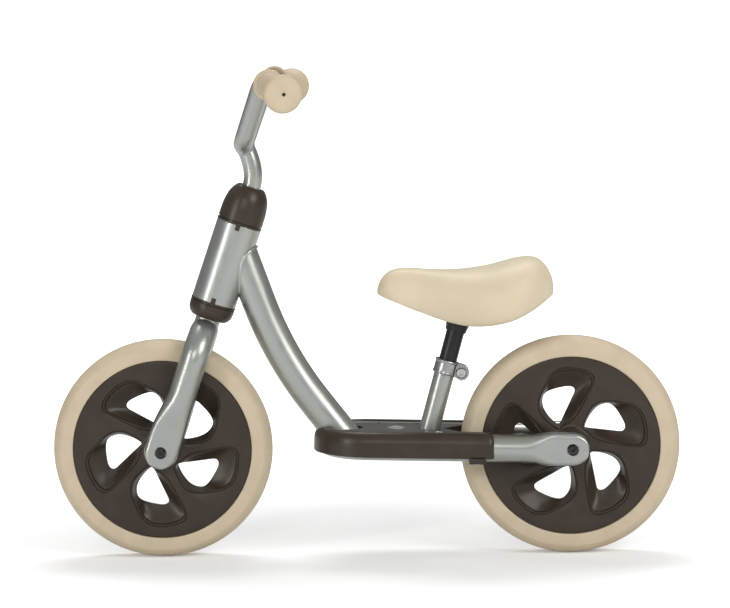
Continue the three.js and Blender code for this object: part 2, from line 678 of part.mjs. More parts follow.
function downTubeSolid() {
  const headRoom = fromSteering(rod(HEAD_RADIUS + GAP, -60, HEAD_LENGTH + 60, 32));
  const baseRoom = toGround(barAlong(baseRoute(), BASE_TUBE_RADIUS + GAP));
  const below = toGround(block(200, 100, 60, [250, 0, DOWN_TUBE_END - 30]));
  const ahead = fromSteering(block(200, 100, 300, [100 + 5, 0, 0]));
  return cut(barAlong(downRoute(), DOWN_TUBE_RADIUS, 20), headRoom, baseRoom, below, ahead);
}

// ---------------------------------------------------------------- seat

// Along the seat tube: Z up the tube from its foot, X forward.
const seat = new THREE.Group();
seat.position.set(SEAT_FOOT, 0, 0).applyAxisAngle(new THREE.Vector3(0, 1, 0), -BASE_LEAN)
  .add(new THREE.Vector3(REAR_AXLE_X, 0, AXLE_HEIGHT));
seat.rotation.y = -SEAT_LEAN;

const toGroundFromSeat = (shape) =>
  shape.rotate([0, -THREE.MathUtils.radToDeg(SEAT_LEAN), 0]).translate(seat.position.toArray());

const SEAT_TUBE_TOP = 98;
const COLLAR_LOW = 82;
const COLLAR_HIGH = 98.6;
const COLLAR_BOLT = [-18.4, 88.6];
const COLLAR_RADIUS = 14;

function seatTubeSolid() {
  const tube = ring(SEAT_POST_RADIUS + GAP, SEAT_TUBE_RADIUS, -9, SEAT_TUBE_TOP);
  const slit = block(12, 2, 24, [-SEAT_TUBE_RADIUS, 0, SEAT_TUBE_TOP - 6]);
  const tilt = THREE.MathUtils.radToDeg(SEAT_LEAN - BASE_LEAN);
  const bridgeRoom = block(200, 200, 30, [0, 0, -22.6]).rotate([0, tilt, 0]);
  return cut(tube, slit, bridgeRoom);
}

function seatCollar() {
  const band = ring(SEAT_TUBE_RADIUS + GAP, COLLAR_RADIUS, COLLAR_LOW, COLLAR_HIGH);
  const [boltX, boltZ] = COLLAR_BOLT;
  const ear = acrossY(rod(9.4, -8, 8)).translate([boltX, 0, boltZ]);
  const web = block(12, 16, 15, [-13, 0, COLLAR_LOW + 8]);
  const room = rod(SEAT_TUBE_RADIUS + GAP, 0, 140, 20);
  const slot = block(30, 2.4, 60, [-24, 0, 90]);
  const hole = acrossY(rod(3.3, -20, 20)).translate([boltX, 0, boltZ]);
  return cut(join(band, cut(join(ear, web), room)), slot, hole);
}

function collarBolt() {
  const [boltX, boltZ] = COLLAR_BOLT;
  const shank = rod(2.9, -11, 8.3);
  const head = rod(5.4, 8.3, 12.3);
  const socket = rod(2.4, 10, 14, 6);
  return acrossY(cut(join(shank, head), socket)).translate([boltX, 0, boltZ]);
}

function collarNut() {
  const [boltX, boltZ] = COLLAR_BOLT;
  return acrossY(ring(3.7, 5.8, -12.6, -8.3, 6)).translate([boltX, 0, boltZ]);
}

const POST_LOW = 28;
const POST_HIGH = 142;
const POST_WALL = 2.5;
const SOCKET_LOW = 134;
const SOCKET_HIGH = 156;
const SOCKET_MOUTH_RADIUS = 12;
const SOCKET_NECK_RADIUS = 12.7;
const SOCKET_RADIUS = 15.6;

// A cup over the post's top, whose own top follows the saddle's underside.
function saddleSocket(saddle) {
  const bore = SEAT_POST_RADIUS + GAP;
  const ceiling = POST_HIGH + GAP;
  const outside = [
    [SOCKET_MOUTH_RADIUS, SOCKET_LOW], [SOCKET_NECK_RADIUS, SOCKET_LOW + 4],
    [SOCKET_RADIUS, POST_HIGH + 2], [SOCKET_RADIUS, SOCKET_HIGH], [0, SOCKET_HIGH],
  ];
  const cup = turned([[bore, SOCKET_LOW], ...outside, [0, ceiling], [bore, ceiling], [bore, SOCKET_LOW]]);
  return cut(toGroundFromSeat(cup), saddle.translate([0, 0, -GAP]));
}

// ---------------------------------------------------------------- saddle

const SADDLE_NOSE = -14;
const SADDLE_TAIL = -217;
// The side outline in X and Z: along the top to the rear, then back along the bottom.
const SADDLE_TOP = [
  [-30, 330], [-45, 333], [-75, 331.5], [-110, 331],
  [-145, 336], [-175, 343.5], [-192, 345], [-205, 339],
];
const SADDLE_BOTTOM = [
  [-207, 299], [-190, 286], [-165, 275], [-140, 270],
  [-115, 271], [-90, 277.5], [-60, 289.5], [-35, 299],
];
const SADDLE_CENTRE = new THREE.Vector2(-118, 305); // the outline shrinks towards it
const SADDLE_NOSE_HALF_WIDTH = 22;
const SADDLE_REAR_HALF_WIDTH = 69;
const SADDLE_FULLNESS = 2.6; // a higher power keeps the middle flatter
const SADDLE_EDGE_LENGTH = 0.9; // the share of the outline's length left at the edges
const SADDLE_EDGE_DEPTH = 0.3;
const SADDLE_DROOP = 3.6; // the rear's edges hang this far below its middle

// Half the saddle's width at a place along it: a slim nose that widens to the rear.
function saddleHalfWidth(x) {
  const widening = THREE.MathUtils.smoothstep(-x, 45, 165);
  return THREE.MathUtils.lerp(SADDLE_NOSE_HALF_WIDTH, SADDLE_REAR_HALF_WIDTH, widening);
}

// The side outline is swept across the width and pinched towards both edges.
function saddleSolid() {
  const points = [[SADDLE_NOSE, 308], ...SADDLE_TOP, [SADDLE_TAIL, 316], ...SADDLE_BOTTOM];
  const curve = new THREE.SplineCurve([...points, points[0]].map(([x, z]) => new THREE.Vector2(x, z)));
  const outline = new THREE.Shape(curve.getPoints(36).slice(0, -1));
  const geometry = new THREE.ExtrudeGeometry(outline, { depth: 2, steps: 6, bevelEnabled: false });
  geometry.translate(0, 0, -1).rotateX(Math.PI / 2);
  const position = geometry.attributes.position;
  for (let i = 0; i < position.count; i += 1) {
    const across = -Math.cos((Math.PI * (1 + position.getY(i))) / 2);
    const fall = Math.sqrt(Math.max(0, 1 - Math.abs(across) ** SADDLE_FULLNESS));
    const x = position.getX(i);
    const keepX = THREE.MathUtils.lerp(SADDLE_EDGE_LENGTH, 1, fall);
    const keepZ = THREE.MathUtils.lerp(SADDLE_EDGE_DEPTH, 1, fall);
    const newX = SADDLE_CENTRE.x + (x - SADDLE_CENTRE.x) * keepX;
    const droop = SADDLE_DROOP * across * across * THREE.MathUtils.smoothstep(-x, 60, 170);
    const newZ = SADDLE_CENTRE.y + (position.getZ(i) - SADDLE_CENTRE.y) * keepZ - droop;
    position.setXYZ(i, newX, across * saddleHalfWidth(newX), newZ);
  }
  return solid(geometry);
}

// The base plate is moulded to the saddle's underside and lies flush in it.
const SADDLE_PLATE = 4;
const PLATE_FRONT = -85;
const PLATE_REAR = -172;
const PLATE_HALF_WIDTH = 26;

// A tall block over the base plate's outline, drawn in by `inset` all round.
function plateBlock(inset) {
  const length = PLATE_FRONT - PLATE_REAR - 2 * inset;
  const middle = [(PLATE_FRONT + PLATE_REAR) / 2, 0, 270];
  return block(length, 2 * (PLATE_HALF_WIDTH - inset), 80, middle);
}

function plateRoom(saddle) {
  return saddle.intersect(plateBlock(0)).subtract(saddle.translate([0, 0, SADDLE_PLATE]));
}

function saddleBasePlate(saddle) {
  const room = plateRoom(saddle);
  return room.intersect(room.translate([0, 0, -GAP])).intersect(plateBlock(GAP));
}

const SADDLE_SCREW_X = -108;
const SADDLE_SCREW_Y = 20.5;

function saddleScrew(saddle, y) {
  const bottom = saddle.intersect(block(1, 1, 200, [SADDLE_SCREW_X, y, 300])).boundingBox().min[2];
  const head = rod(4, bottom - 2.4, bottom + 4).translate([SADDLE_SCREW_X, y, 0]);
  return head.subtract(saddle.translate([0, 0, -GAP]));
}

// ---------------------------------------------------------------- assembly

const bike = new THREE.Group();

const downTube = downTubeSolid();
const downTubeRoom = fromGround(barAlong(downRoute(), DOWN_TUBE_RADIUS + 0.8, 16));
const seatRoom = rod(SEAT_TUBE_RADIUS + 0.8, -40, 60, 28)
  .rotate([0, -THREE.MathUtils.radToDeg(SEAT_LEAN - BASE_LEAN), 0]).translate([SEAT_FOOT, 0, 0]);

const frontBridge = bridge(44, 247, DOWN_TUBE_END - GAP - BRIDGE_THICKNESS / 2);
base.add(named('base_tube', baseTube(), silverPaint()));
base.add(named('front_bridge_plate', frontBridge, silverPaint()));
base.add(named('rear_bridge_plate', bridge(34, SEAT_FOOT + 6, -9.9), silverPaint()));
base.add(named('footboard', footboardSolid(downTubeRoom, seatRoom), brownPlastic()));
base.add(named('footboard_disc', footboardDisc(), silverPaint()));
for (const [side, label] of [[1, 'left'], [-1, 'right']]) {
  const topHead = rod(4.4, BOARD_TOP + GAP, BOARD_TOP + 2, 16)
    .translate([TOP_SCREW[0], side * TOP_SCREW[1], 0]);
  const tabHead = rod(4, TAB_LOW - 1.9, TAB_LOW - GAP, 16)
    .translate([TAB_SCREW[0], side * TAB_SCREW[1], 0]);
  base.add(named(`footboard_top_screw_${label}`, topHead, bareSteel()));
  base.add(named(`footboard_tab_screw_${label}`, tabHead, bareSteel()));
}
base.add(axleSet('rear', BASE_LEG_Y));

steering.add(named('head_tube', headTube(), silverPaint()));
steering.add(named('head_upper_cap', upperCap(), brownPlastic()));
steering.add(named('head_lower_cap', lowerCap(), brownPlastic()));
steering.add(named('head_upper_bushing', headBushing(HEAD_LENGTH, -1), greyNylon()));
steering.add(named('head_lower_bushing', headBushing(0, 1), greyNylon()));
steering.add(named('fork', forkSolid(), silverPaint()));
steering.add(named('steerer_tube', steererTube(), silverPaint()));
steering.add(named('fork_crown_race', crownRace(), bareSteel()));
steering.add(named('steerer_clamp', steererClamp(), bareSteel()));
steering.add(named('steerer_clamp_bolt', clampBolt(), bareSteel()));
steering.add(named('handlebar_stem', stemSolid(), silverPaint()));
steering.add(named('handlebar', barAlong(handlebarStations(), BAR_RADIUS, 14), silverPaint()));
steering.add(grip('left', 1), grip('right', -1));
const frontAxle = axleSet('front', FORK_LEG_Y);
frontAxle.position.set(FORK_RAKE, 0, -FORK_LENGTH);
steering.add(frontAxle);

seat.add(named('seat_tube', seatTubeSolid(), silverPaint()));
seat.add(named('seat_clamp_collar', seatCollar(), bareSteel()));
seat.add(named('seat_clamp_bolt', collarBolt(), bareSteel()));
seat.add(named('seat_clamp_nut', collarNut(), bareSteel()));
const seatPost = ring(SEAT_POST_RADIUS - POST_WALL, SEAT_POST_RADIUS, POST_LOW, POST_HIGH);
seat.add(named('seat_post', seatPost, blackSteel()));

bike.add(base, steering, seat);
bike.add(named('down_tube', downTube, silverPaint()));
bike.add(wheel('front', FRONT_AXLE_X, 0), wheel('rear', REAR_AXLE_X, Math.PI));

const saddleForm = saddleSolid();
bike.add(named('saddle', cut(saddleForm, plateRoom(saddleForm)), creamRubber()));
bike.add(named('saddle_base_plate', saddleBasePlate(saddleForm), brownPlastic()));
bike.add(named('saddle_socket', saddleSocket(saddleForm), blackSteel()));
bike.add(named('saddle_screw_left', saddleScrew(saddleForm, SADDLE_SCREW_Y), bareSteel()));
bike.add(named('saddle_screw_right', saddleScrew(saddleForm, -SADDLE_SCREW_Y), bareSteel()));

export default bike;
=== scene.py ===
"""Balance bike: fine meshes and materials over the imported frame.

Shapes are worked out in millimetres in the frame of the part that they belong to, and
placed in the row frame in metres: +X forwards, +Y to the rider's left, +Z up.
"""

import math

import bmesh
import bpy
from mathutils import Matrix, Quaternion, Vector
from mathutils.geometry import delaunay_2d_cdt


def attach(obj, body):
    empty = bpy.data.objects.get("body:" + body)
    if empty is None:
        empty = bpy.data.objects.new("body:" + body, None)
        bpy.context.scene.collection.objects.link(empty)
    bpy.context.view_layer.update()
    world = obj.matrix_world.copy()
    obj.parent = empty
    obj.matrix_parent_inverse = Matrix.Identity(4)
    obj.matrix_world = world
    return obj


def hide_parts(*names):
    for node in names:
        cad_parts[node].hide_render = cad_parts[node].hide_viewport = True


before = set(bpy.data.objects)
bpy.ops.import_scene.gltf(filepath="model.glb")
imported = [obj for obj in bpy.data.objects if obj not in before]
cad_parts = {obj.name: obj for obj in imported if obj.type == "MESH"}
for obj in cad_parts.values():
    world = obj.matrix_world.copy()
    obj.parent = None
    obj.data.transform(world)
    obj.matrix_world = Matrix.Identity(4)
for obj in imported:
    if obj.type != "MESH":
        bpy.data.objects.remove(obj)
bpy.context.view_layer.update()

MM = 0.001

# ---- driving sizes, in mm

WHEEL_RADIUS = 127
WHEELBASE = 472
TYRE_HALF = 20
RIM_RADIUS = 103
CHANNEL_RADIUS = 94
CHANNEL_HALF = 13

HEAD_LEAN = math.radians(19)
BASE_LEAN = math.radians(1.35)
SEAT_LEAN = math.radians(15.3)
FORK_LENGTH = 180
FORK_RAKE = 2.6
HEAD_LENGTH = 95
HEAD_RADIUS = 26
SEAT_FOOT = 167

TUBE_RADIUS = 16
DOWN_TUBE_RADIUS = 19.5
BAR_RADIUS = 11.1
STEM_RADIUS = 10.6
SEAT_TUBE_RADIUS = 11.9
POST_RADIUS = 10.4

FORK_LEG_Y = 38.5
BASE_LEG_Y = 46
DROPOUT_RADIUS = 19.6
DROPOUT_HALF = 8.5
RECESS_RADIUS = 6.6
RECESS_DEPTH = 8

# ---- frames


def placed(x, z, lean=0.0):
    """From a part's own millimetres to the row frame: a lean back, then a shift."""
    return Matrix.Scale(MM, 4) @ Matrix.Translation((x, 0, z)) @ Matrix.Rotation(-lean, 4, "Y")


HEAD_X = WHEELBASE / 2 - FORK_LENGTH * math.sin(HEAD_LEAN) - FORK_RAKE * math.cos(HEAD_LEAN)
HEAD_Z = WHEEL_RADIUS + FORK_LENGTH * math.cos(HEAD_LEAN) - FORK_RAKE * math.sin(HEAD_LEAN)
SEAT_X = -WHEELBASE / 2 + SEAT_FOOT * math.cos(BASE_LEAN)
SEAT_Z = WHEEL_RADIUS + SEAT_FOOT * math.sin(BASE_LEAN)

GROUND = placed(0, 0)
BASE = placed(-WHEELBASE / 2, WHEEL_RADIUS, BASE_LEAN)
HEAD = placed(HEAD_X, HEAD_Z, HEAD_LEAN)
SEAT = placed(SEAT_X, SEAT_Z, SEAT_LEAN)
FRONT_WHEEL = placed(WHEELBASE / 2, WHEEL_RADIUS)
REAR_WHEEL = placed(-WHEELBASE / 2, WHEEL_RADIUS)
ACROSS = Matrix.Rotation(math.radians(-90), 4, "X")  # a turned shape's axis to +Y

# ---- small maths


def mix(a, b, t):
    return a + (b - a) * t


def smooth(value, low, high):
    t = min(max((value - low) / (high - low), 0), 1)
    return t * t * (3 - 2 * t)


def soft_min(a, b, width):
    """The lesser of two values, with the corner between them rounded."""
    h = max(width - abs(a - b), 0) / width
    return min(a, b) - h * h * width / 4


def polar(radius, degrees):
    angle = math.radians(degrees)
    return Vector((radius * math.cos(angle), radius * math.sin(angle)))


def spline(points, steps, closed=True):
    """A smooth curve through the points, as Vectors of the points' own size."""
    points = [Vector(p) for p in points]
    count = len(points)
    spans = count if closed else count - 1

    def at(i):
        return points[i % count] if closed else points[min(max(i, 0), count - 1)]

    curve = []
    for i in range(spans):
        p0, p1, p2, p3 = at(i - 1), at(i), at(i + 1), at(i + 2)
        for step in range(steps):
            t = step / steps
            a = p1 * 2
            b = (p2 - p0) * t
            c = (p0 * 2 - p1 * 5 + p2 * 4 - p3) * (t * t)
            d = (p1 * 3 - p0 - p2 * 3 + p3) * (t * t * t)
            curve.append((a + b + c + d) / 2)
    if not closed:
        curve.append(points[-1])
    return curve


def softened(points, radius, steps=4, closed=False):
    """The outline with each corner rounded off, by no more than its sides allow."""
    points = [Vector(p) for p in points]
    count = len(points)
    out = []
    for i, corner in enumerate(points):
        if not closed and i in (0, count - 1):
            out.append(corner)
            continue
        before = points[i - 1] - corner
        after = points[(i + 1) % count] - corner
        start = corner + before.normalized() * min(radius, before.length * 0.49)
        end = corner + after.normalized() * min(radius, after.length * 0.49)
        for step in range(steps + 1):
            t = step / steps
            out.append(start * (1 - t) ** 2 + corner * (2 * t * (1 - t)) + end * t**2)
    return out


# ---- shapes: (points, faces)


def joined(*shapes):
    points, faces = [], []
    for more_points, more_faces in shapes:
        start = len(points)
        points += more_points
        faces += [tuple(start + i for i in face) for face in more_faces]
    return points, faces


def moved(shape, matrix):
    points, faces = shape
    return [matrix @ Vector(p) for p in points], faces


def lofted(rings, closed=False, caps=True):
    """A skin over equal rings of points; closed joins the last ring to the first."""
    size = len(rings[0])
    points = [p for ring in rings for p in ring]
    faces = []
    for k in range(len(rings) if closed else len(rings) - 1):
        a = k * size
        b = ((k + 1) % len(rings)) * size
        for i in range(size):
            j = (i + 1) % size
            faces.append((a + i, a + j, b + j, b + i))
    if caps and not closed:
        faces.append(tuple(reversed(range(size))))
        faces.append(tuple(range(len(points) - size, len(points))))
    return points, faces


def turned(profile, segments=96, closed=False):
    """A profile of (radius, height) turned about Z. Ends off the axis are capped."""
    rings = []
    for radius, height in profile:
        steps = [2 * math.pi * i / segments for i in range(segments)]
        rings.append([Vector((radius * math.cos(a), radius * math.sin(a), height)) for a in steps])
    return lofted(rings, closed=closed)


def carried_frames(route):
    """Two axes square to the route at each of its points, carried along without twist."""
    frames = []
    tangents = []
    for i, here in enumerate(route):
        before = route[max(i - 1, 0)]
        after = route[min(i + 1, len(route) - 1)]
        tangents.append((after - before).normalized())
    side = Vector((0, 1, 0)) - tangents[0] * tangents[0].y
    if side.length < 0.1:
        side = Vector((0, 0, 1)) - tangents[0] * tangents[0].z
    side.normalize()
    for i, tangent in enumerate(tangents):
        if i:
            side = tangents[i - 1].rotation_difference(tangent) @ side
        frames.append((side, tangent.cross(side)))
    return frames


def tube(route, section, sides=64):
    """A tube along the route; section(i, angle) gives a surface point's two offsets."""
    rings = []
    for i, (here, (side, up)) in enumerate(zip(route, carried_frames(route))):
        ring = []
        for k in range(sides):
            across, along = section(i, 2 * math.pi * k / sides)
            ring.append(here + side * across + up * along)
        rings.append(ring)
    return lofted(rings)


def round_section(radius):
    return lambda i, angle: (radius * math.cos(angle), radius * math.sin(angle))


def bent(corners, radius, step=4):
    """A route of straight runs whose corners are rounded to the bend radius."""
    corners = [Vector(c) for c in corners]
    route = [corners[0]]
    for before, corner, after in zip(corners, corners[1:], corners[2:]):
        inward = (before - corner).normalized()
        outward = (after - corner).normalized()
        half = inward.angle(outward) / 2
        reach = radius / math.tan(half)
        centre = corner + (inward + outward).normalized() * (radius / math.sin(half))
        axis = (-inward).cross(outward).normalized()
        turn = math.pi - 2 * half
        steps = max(3, round(math.degrees(turn) / step))
        arm = corner + inward * reach - centre
        route += [Quaternion(axis, turn * k / steps) @ arm + centre for k in range(steps + 1)]
    route.append(corners[-1])
    return route


def filled(outer, holes):
    """Flat triangles inside a 2D outline and outside the hole outlines."""
    loops = [outer, *holes]
    points = [Vector(p) for loop in loops for p in loop]
    edges = []
    start = 0
    for loop in loops:
        count = len(loop)
        edges += [(start + i, start + (i + 1) % count) for i in range(count)]
        start += count
    verts, _, triangles, *_ = delaunay_2d_cdt(points, edges, [], 0, 1e-5)

    def kept(triangle):
        middle = sum((verts[i] for i in triangle), Vector((0, 0))) / 3
        return inside(middle, outer) and not any(inside(middle, hole) for hole in holes)

    return [Vector((v.x, v.y, 0)) for v in verts], [tuple(t) for t in triangles if kept(t)]


def inside(point, loop):
    """Whether a 2D point is inside a closed outline."""
    odd = False
    for i, a in enumerate(loop):
        b = loop[i - 1]
        if (a[1] > point[1]) != (b[1] > point[1]):
            crossing = mix(a[0], b[0], (point[1] - a[1]) / (b[1] - a[1]))
            odd ^= point[0] < crossing
    return odd


def box_shape(low, high):
    corners = [Vector((x, y, z)) for x in (low[0], high[0]) for y in (low[1], high[1])
               for z in (low[2], high[2])]
    faces = [(0, 1, 3, 2), (4, 6, 7, 5), (0, 4, 5, 1), (2, 3, 7, 6), (0, 2, 6, 4), (1, 5, 7, 3)]
    return corners, faces


# ---- objects


def mesh_object(name, shape, matrix):
    points, faces = shape
    mesh = bpy.data.meshes.new(name)
    mesh.from_pydata([matrix @ Vector(p) for p in points], [], faces)
    work = bmesh.new()
    work.from_mesh(mesh)
    bmesh.ops.remove_doubles(work, verts=work.verts, dist=1e-6)
    bmesh.ops.recalc_face_normals(work, faces=work.faces)
    work.to_mesh(mesh)
    work.free()
    made = bpy.data.objects.new(name, mesh)
    bpy.context.scene.collection.objects.link(made)
    return made


def settle(made):
    """Applies an object's modifiers to its mesh."""
    graph = bpy.context.evaluated_depsgraph_get()
    mesh = bpy.data.meshes.new_from_object(made.evaluated_get(graph))
    made.modifiers.clear()
    made.data = mesh


def carve(made, *cutters, matrix, mode="DIFFERENCE"):
    """Cuts (or joins) closed shapes from an object, exactly."""
    for index, cutter in enumerate(cutters):
        tool = mesh_object(f"cutter_{index}", cutter, matrix)
        cut = made.modifiers.new("cut", "BOOLEAN")
        cut.operation = mode
        cut.solver = "EXACT"
        cut.object = tool
        settle(made)
        bpy.data.objects.remove(tool)


def bevel(made, width, segments=2, angle=35):
    edge = made.modifiers.new("bevel", "BEVEL")
    edge.width = width * MM
    edge.segments = segments
    edge.limit_method = "ANGLE"
    edge.angle_limit = math.radians(angle)
    edge.harden_normals = True


def finished(made, body, material, replaced=(), crease=32):
    """Smooths a piece up to the crease angle and puts it on its body."""
    made.data.materials.clear()
    made.data.materials.append(material)
    made.data.shade_smooth()
    made.data.set_sharp_from_angle(angle=math.radians(crease))
    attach(made, body)
    if replaced:
        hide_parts(*replaced)
    return made


# ---- materials


def shader_of(name):
    made = bpy.data.materials.new(name)
    made.use_nodes = True
    return made, made.node_tree, made.node_tree.nodes["Principled BSDF"]


def noise(tree, size, detail=2.0, kind="ShaderNodeTexNoise"):
    """A 3D pattern with features of about this size in mm, fixed to the object."""
    place = tree.nodes.new("ShaderNodeTexCoord")
    made = tree.nodes.new(kind)
    made.inputs["Scale"].default_value = 1 / (size * MM)
    made.inputs["Detail"].default_value = detail
    tree.links.new(place.outputs["Object"], made.inputs["Vector"])
    return made


def banded(tree, source, low, high, start=0.35, stop=0.65):
    """Turns a pattern into a colour or a value that runs from low to high."""
    ramp = tree.nodes.new("ShaderNodeValToRGB")
    for element, place, value in zip(ramp.color_ramp.elements, (start, stop), (low, high)):
        element.position = place
        colour = value if isinstance(value, tuple) else (value, value, value)
        element.color = (*colour, 1)
    tree.links.new(source, ramp.inputs["Fac"])
    return ramp.outputs["Color"]


def remapped(tree, value, source, target):
    """A value carried from one range to another, and held at its ends."""
    made = tree.nodes.new("ShaderNodeMapRange")
    made.inputs["From Min"].default_value, made.inputs["From Max"].default_value = source
    made.inputs["To Min"].default_value, made.inputs["To Max"].default_value = target
    tree.links.new(value, made.inputs["Value"])
    return made.outputs["Result"]


def bumped(tree, height, depth, strength, onto=None):
    bump = tree.nodes.new("ShaderNodeBump")
    bump.inputs["Distance"].default_value = depth * MM
    bump.inputs["Strength"].default_value = strength
    tree.links.new(height, bump.inputs["Height"])
    if onto:
        tree.links.new(onto, bump.inputs["Normal"])
    return bump.outputs["Normal"]


def moulded(name, tones, patch, grain, depth, rough, specular=0.5, sheen=0.0):
    """A moulded skin: tone and gloss that drift in patches, and a fine grain."""
    made, tree, shader = shader_of(name)
    drift = noise(tree, patch, 3).outputs["Fac"]
    pores = noise(tree, grain, 4).outputs["Fac"]
    tree.links.new(banded(tree, drift, *tones), shader.inputs["Base Color"])
    tree.links.new(banded(tree, pores, *rough), shader.inputs["Roughness"])
    waves = bumped(tree, drift, 6 * depth, 0.25)
    tree.links.new(bumped(tree, pores, depth, 0.5, waves), shader.inputs["Normal"])
    shader.inputs["Specular IOR Level"].default_value = specular
    shader.inputs["Sheen Weight"].default_value = sheen
    return made


def metallic_paint(name, tones, flake, rough, coat):
    """Paint with metal flakes that each catch the light, under a clear coat."""
    made, tree, shader = shader_of(name)
    flakes = noise(tree, flake, 0, "ShaderNodeTexVoronoi")
    tree.links.new(banded(tree, flakes.outputs["Color"], *tones, 0.2, 0.8), shader.inputs["Base Color"])
    drift = noise(tree, 22, 3).outputs["Fac"]
    tree.links.new(banded(tree, drift, *rough), shader.inputs["Roughness"])
    peel = noise(tree, 3.2, 1).outputs["Fac"]
    facets = bumped(tree, flakes.outputs["Color"], 0.008, 0.2)
    tree.links.new(bumped(tree, peel, 0.012, 0.1, facets), shader.inputs["Normal"])
    shader.inputs["Metallic"].default_value = 0.85
    shader.inputs["Coat Weight"].default_value = coat
    shader.inputs["Coat Roughness"].default_value = 0.12
    return made


def machined(name, tones, rough, size=0.5):
    """Bare metal with fine scratches and slightly uneven tone."""
    made, tree, shader = shader_of(name)
    drift = noise(tree, 5, 3).outputs["Fac"]
    marks = noise(tree, size, 6).outputs["Fac"]
    tree.links.new(banded(tree, drift, *tones), shader.inputs["Base Color"])
    tree.links.new(banded(tree, marks, *rough), shader.inputs["Roughness"])
    tree.links.new(bumped(tree, marks, 0.02, 0.12), shader.inputs["Normal"])
    shader.inputs["Metallic"].default_value = 1
    return made


SILVER = metallic_paint("silver_paint", ((0.365, 0.38, 0.353), (0.40, 0.416, 0.388)),
                        flake=0.35, rough=(0.31, 0.39), coat=0.2)
BROWN = moulded("brown_plastic", ((0.033, 0.0228, 0.0152), (0.041, 0.0288, 0.0195)),
                patch=28, grain=0.7, depth=0.04, rough=(0.3, 0.42), specular=0.34)
# Tread skin: the fine grain is the moulding's own, but the lighter grey over the brown is painted
# reflection of the pale floor at a grazing angle.
TREAD_PAINTED_REFLECTION = moulded("footboard_tread_painted_reflection", ((0.045, 0.040, 0.036), (0.062, 0.056, 0.051)),
                patch=9, grain=1.1, depth=0.2, rough=(0.36, 0.5))
FOAM = moulded("tyre_foam", ((0.505, 0.42, 0.295), (0.545, 0.455, 0.325)),
               patch=24, grain=0.9, depth=0.08, rough=(0.6, 0.8))
GRIP = moulded("grip_rubber", ((0.50, 0.41, 0.28), (0.535, 0.44, 0.305)),
               patch=16, grain=0.6, depth=0.06, rough=(0.5, 0.68))
SKIN = moulded("saddle_skin", ((0.605, 0.515, 0.355), (0.64, 0.545, 0.385)),
               patch=42, grain=0.8, depth=0.06, rough=(0.44, 0.6), sheen=0.1)
NYLON = moulded("bushing_nylon", ((0.22, 0.22, 0.21), (0.29, 0.29, 0.28)),
                patch=6, grain=0.5, depth=0.03, rough=(0.4, 0.6))
BLACK = moulded("black_paint", ((0.009, 0.009, 0.009), (0.013, 0.013, 0.013)),
                patch=14, grain=0.5, depth=0.03, rough=(0.3, 0.44), specular=0.35)
OXIDE = machined("black_oxide", ((0.03, 0.03, 0.03), (0.07, 0.07, 0.07)), (0.18, 0.34))
ALLOY = machined("clamp_aluminium", ((0.33, 0.34, 0.335), (0.40, 0.41, 0.405)), (0.26, 0.36), size=0.9)
STEEL = machined("zinc_steel", ((0.5, 0.5, 0.49), (0.65, 0.65, 0.64)), (0.18, 0.36))

# ---- camera, floor and light


VIEW_FROM = (-0.01346, 3.4059, 0.6291)
VIEW_DOWN, VIEW_TURN, VIEW_ROLL = 0.0987, 0.004, -0.0107  # radians
LENS = 146.1
SENSOR_WIDTH = 36


def camera():
    """The photograph's viewpoint: above the handlebar, looking slightly down."""
    down, turn, roll = VIEW_DOWN, VIEW_TURN, VIEW_ROLL
    ahead = Vector((math.cos(down) * math.sin(turn), -math.cos(down) * math.cos(turn), -math.sin(down)))
    level = Vector((-math.cos(turn), -math.sin(turn), 0))
    upright = level.cross(ahead)
    right = level * math.cos(roll) + upright * math.sin(roll)
    up = upright * math.cos(roll) - level * math.sin(roll)
    made = bpy.data.objects.new("camera", bpy.data.cameras.new("camera"))
    bpy.context.scene.collection.objects.link(made)
    made.data.lens = LENS
    made.data.sensor_width = SENSOR_WIDTH
    facing = Matrix((right, up, -ahead)).transposed().to_4x4()
    made.matrix_world = Matrix.Translation(VIEW_FROM) @ facing
    bpy.context.scene.camera = made


FLOOR_HALF = 30
FLOOR_NEAR_FAR = (0.3, 1.5)  # metres from the origin over which the glow grows
FLOOR_GLOW = (0.2, 1)
FLOOR_BOUNCE = 0.22  # the share of the glow that lights the bike


def floor():
    """Pale floor, a little brighter far away so it runs into the white surround."""
    made, tree, shader = shader_of("floor")
    soft = noise(tree, 240, 2).outputs["Fac"]
    tree.links.new(banded(tree, soft, (0.84, 0.84, 0.84), (0.87, 0.87, 0.87)), shader.inputs["Base Color"])
    shader.inputs["Roughness"].default_value = 0.9
    shader.inputs["Specular IOR Level"].default_value = 0.1
    shader.inputs["Emission Color"].default_value = (1, 1, 1, 1)
    place = tree.nodes.new("ShaderNodeTexCoord")
    reach = tree.nodes.new("ShaderNodeVectorMath")
    reach.operation = "LENGTH"
    tree.links.new(place.outputs["Object"], reach.inputs[0])
    glow = remapped(tree, reach.outputs["Value"], FLOOR_NEAR_FAR, FLOOR_GLOW)
    ray = tree.nodes.new("ShaderNodeLightPath")
    direct = remapped(tree, ray.outputs["Is Camera Ray"], (0, 1), (FLOOR_BOUNCE, 1))
    strength = tree.nodes.new("ShaderNodeMath")
    strength.operation = "MULTIPLY"
    tree.links.new(glow, strength.inputs[0])
    tree.links.new(direct, strength.inputs[1])
    tree.links.new(strength.outputs["Value"], shader.inputs["Emission Strength"])
    half = FLOOR_HALF
    corners = [(-half, -half, 0), (half, -half, 0), (half, half, 0), (-half, half, 0)]
    mesh = bpy.data.meshes.new("floor")
    mesh.from_pydata(corners, [], [(0, 1, 2, 3)])
    mesh.materials.append(made)
    plane = bpy.data.objects.new("floor", mesh)
    bpy.context.scene.collection.objects.link(plane)


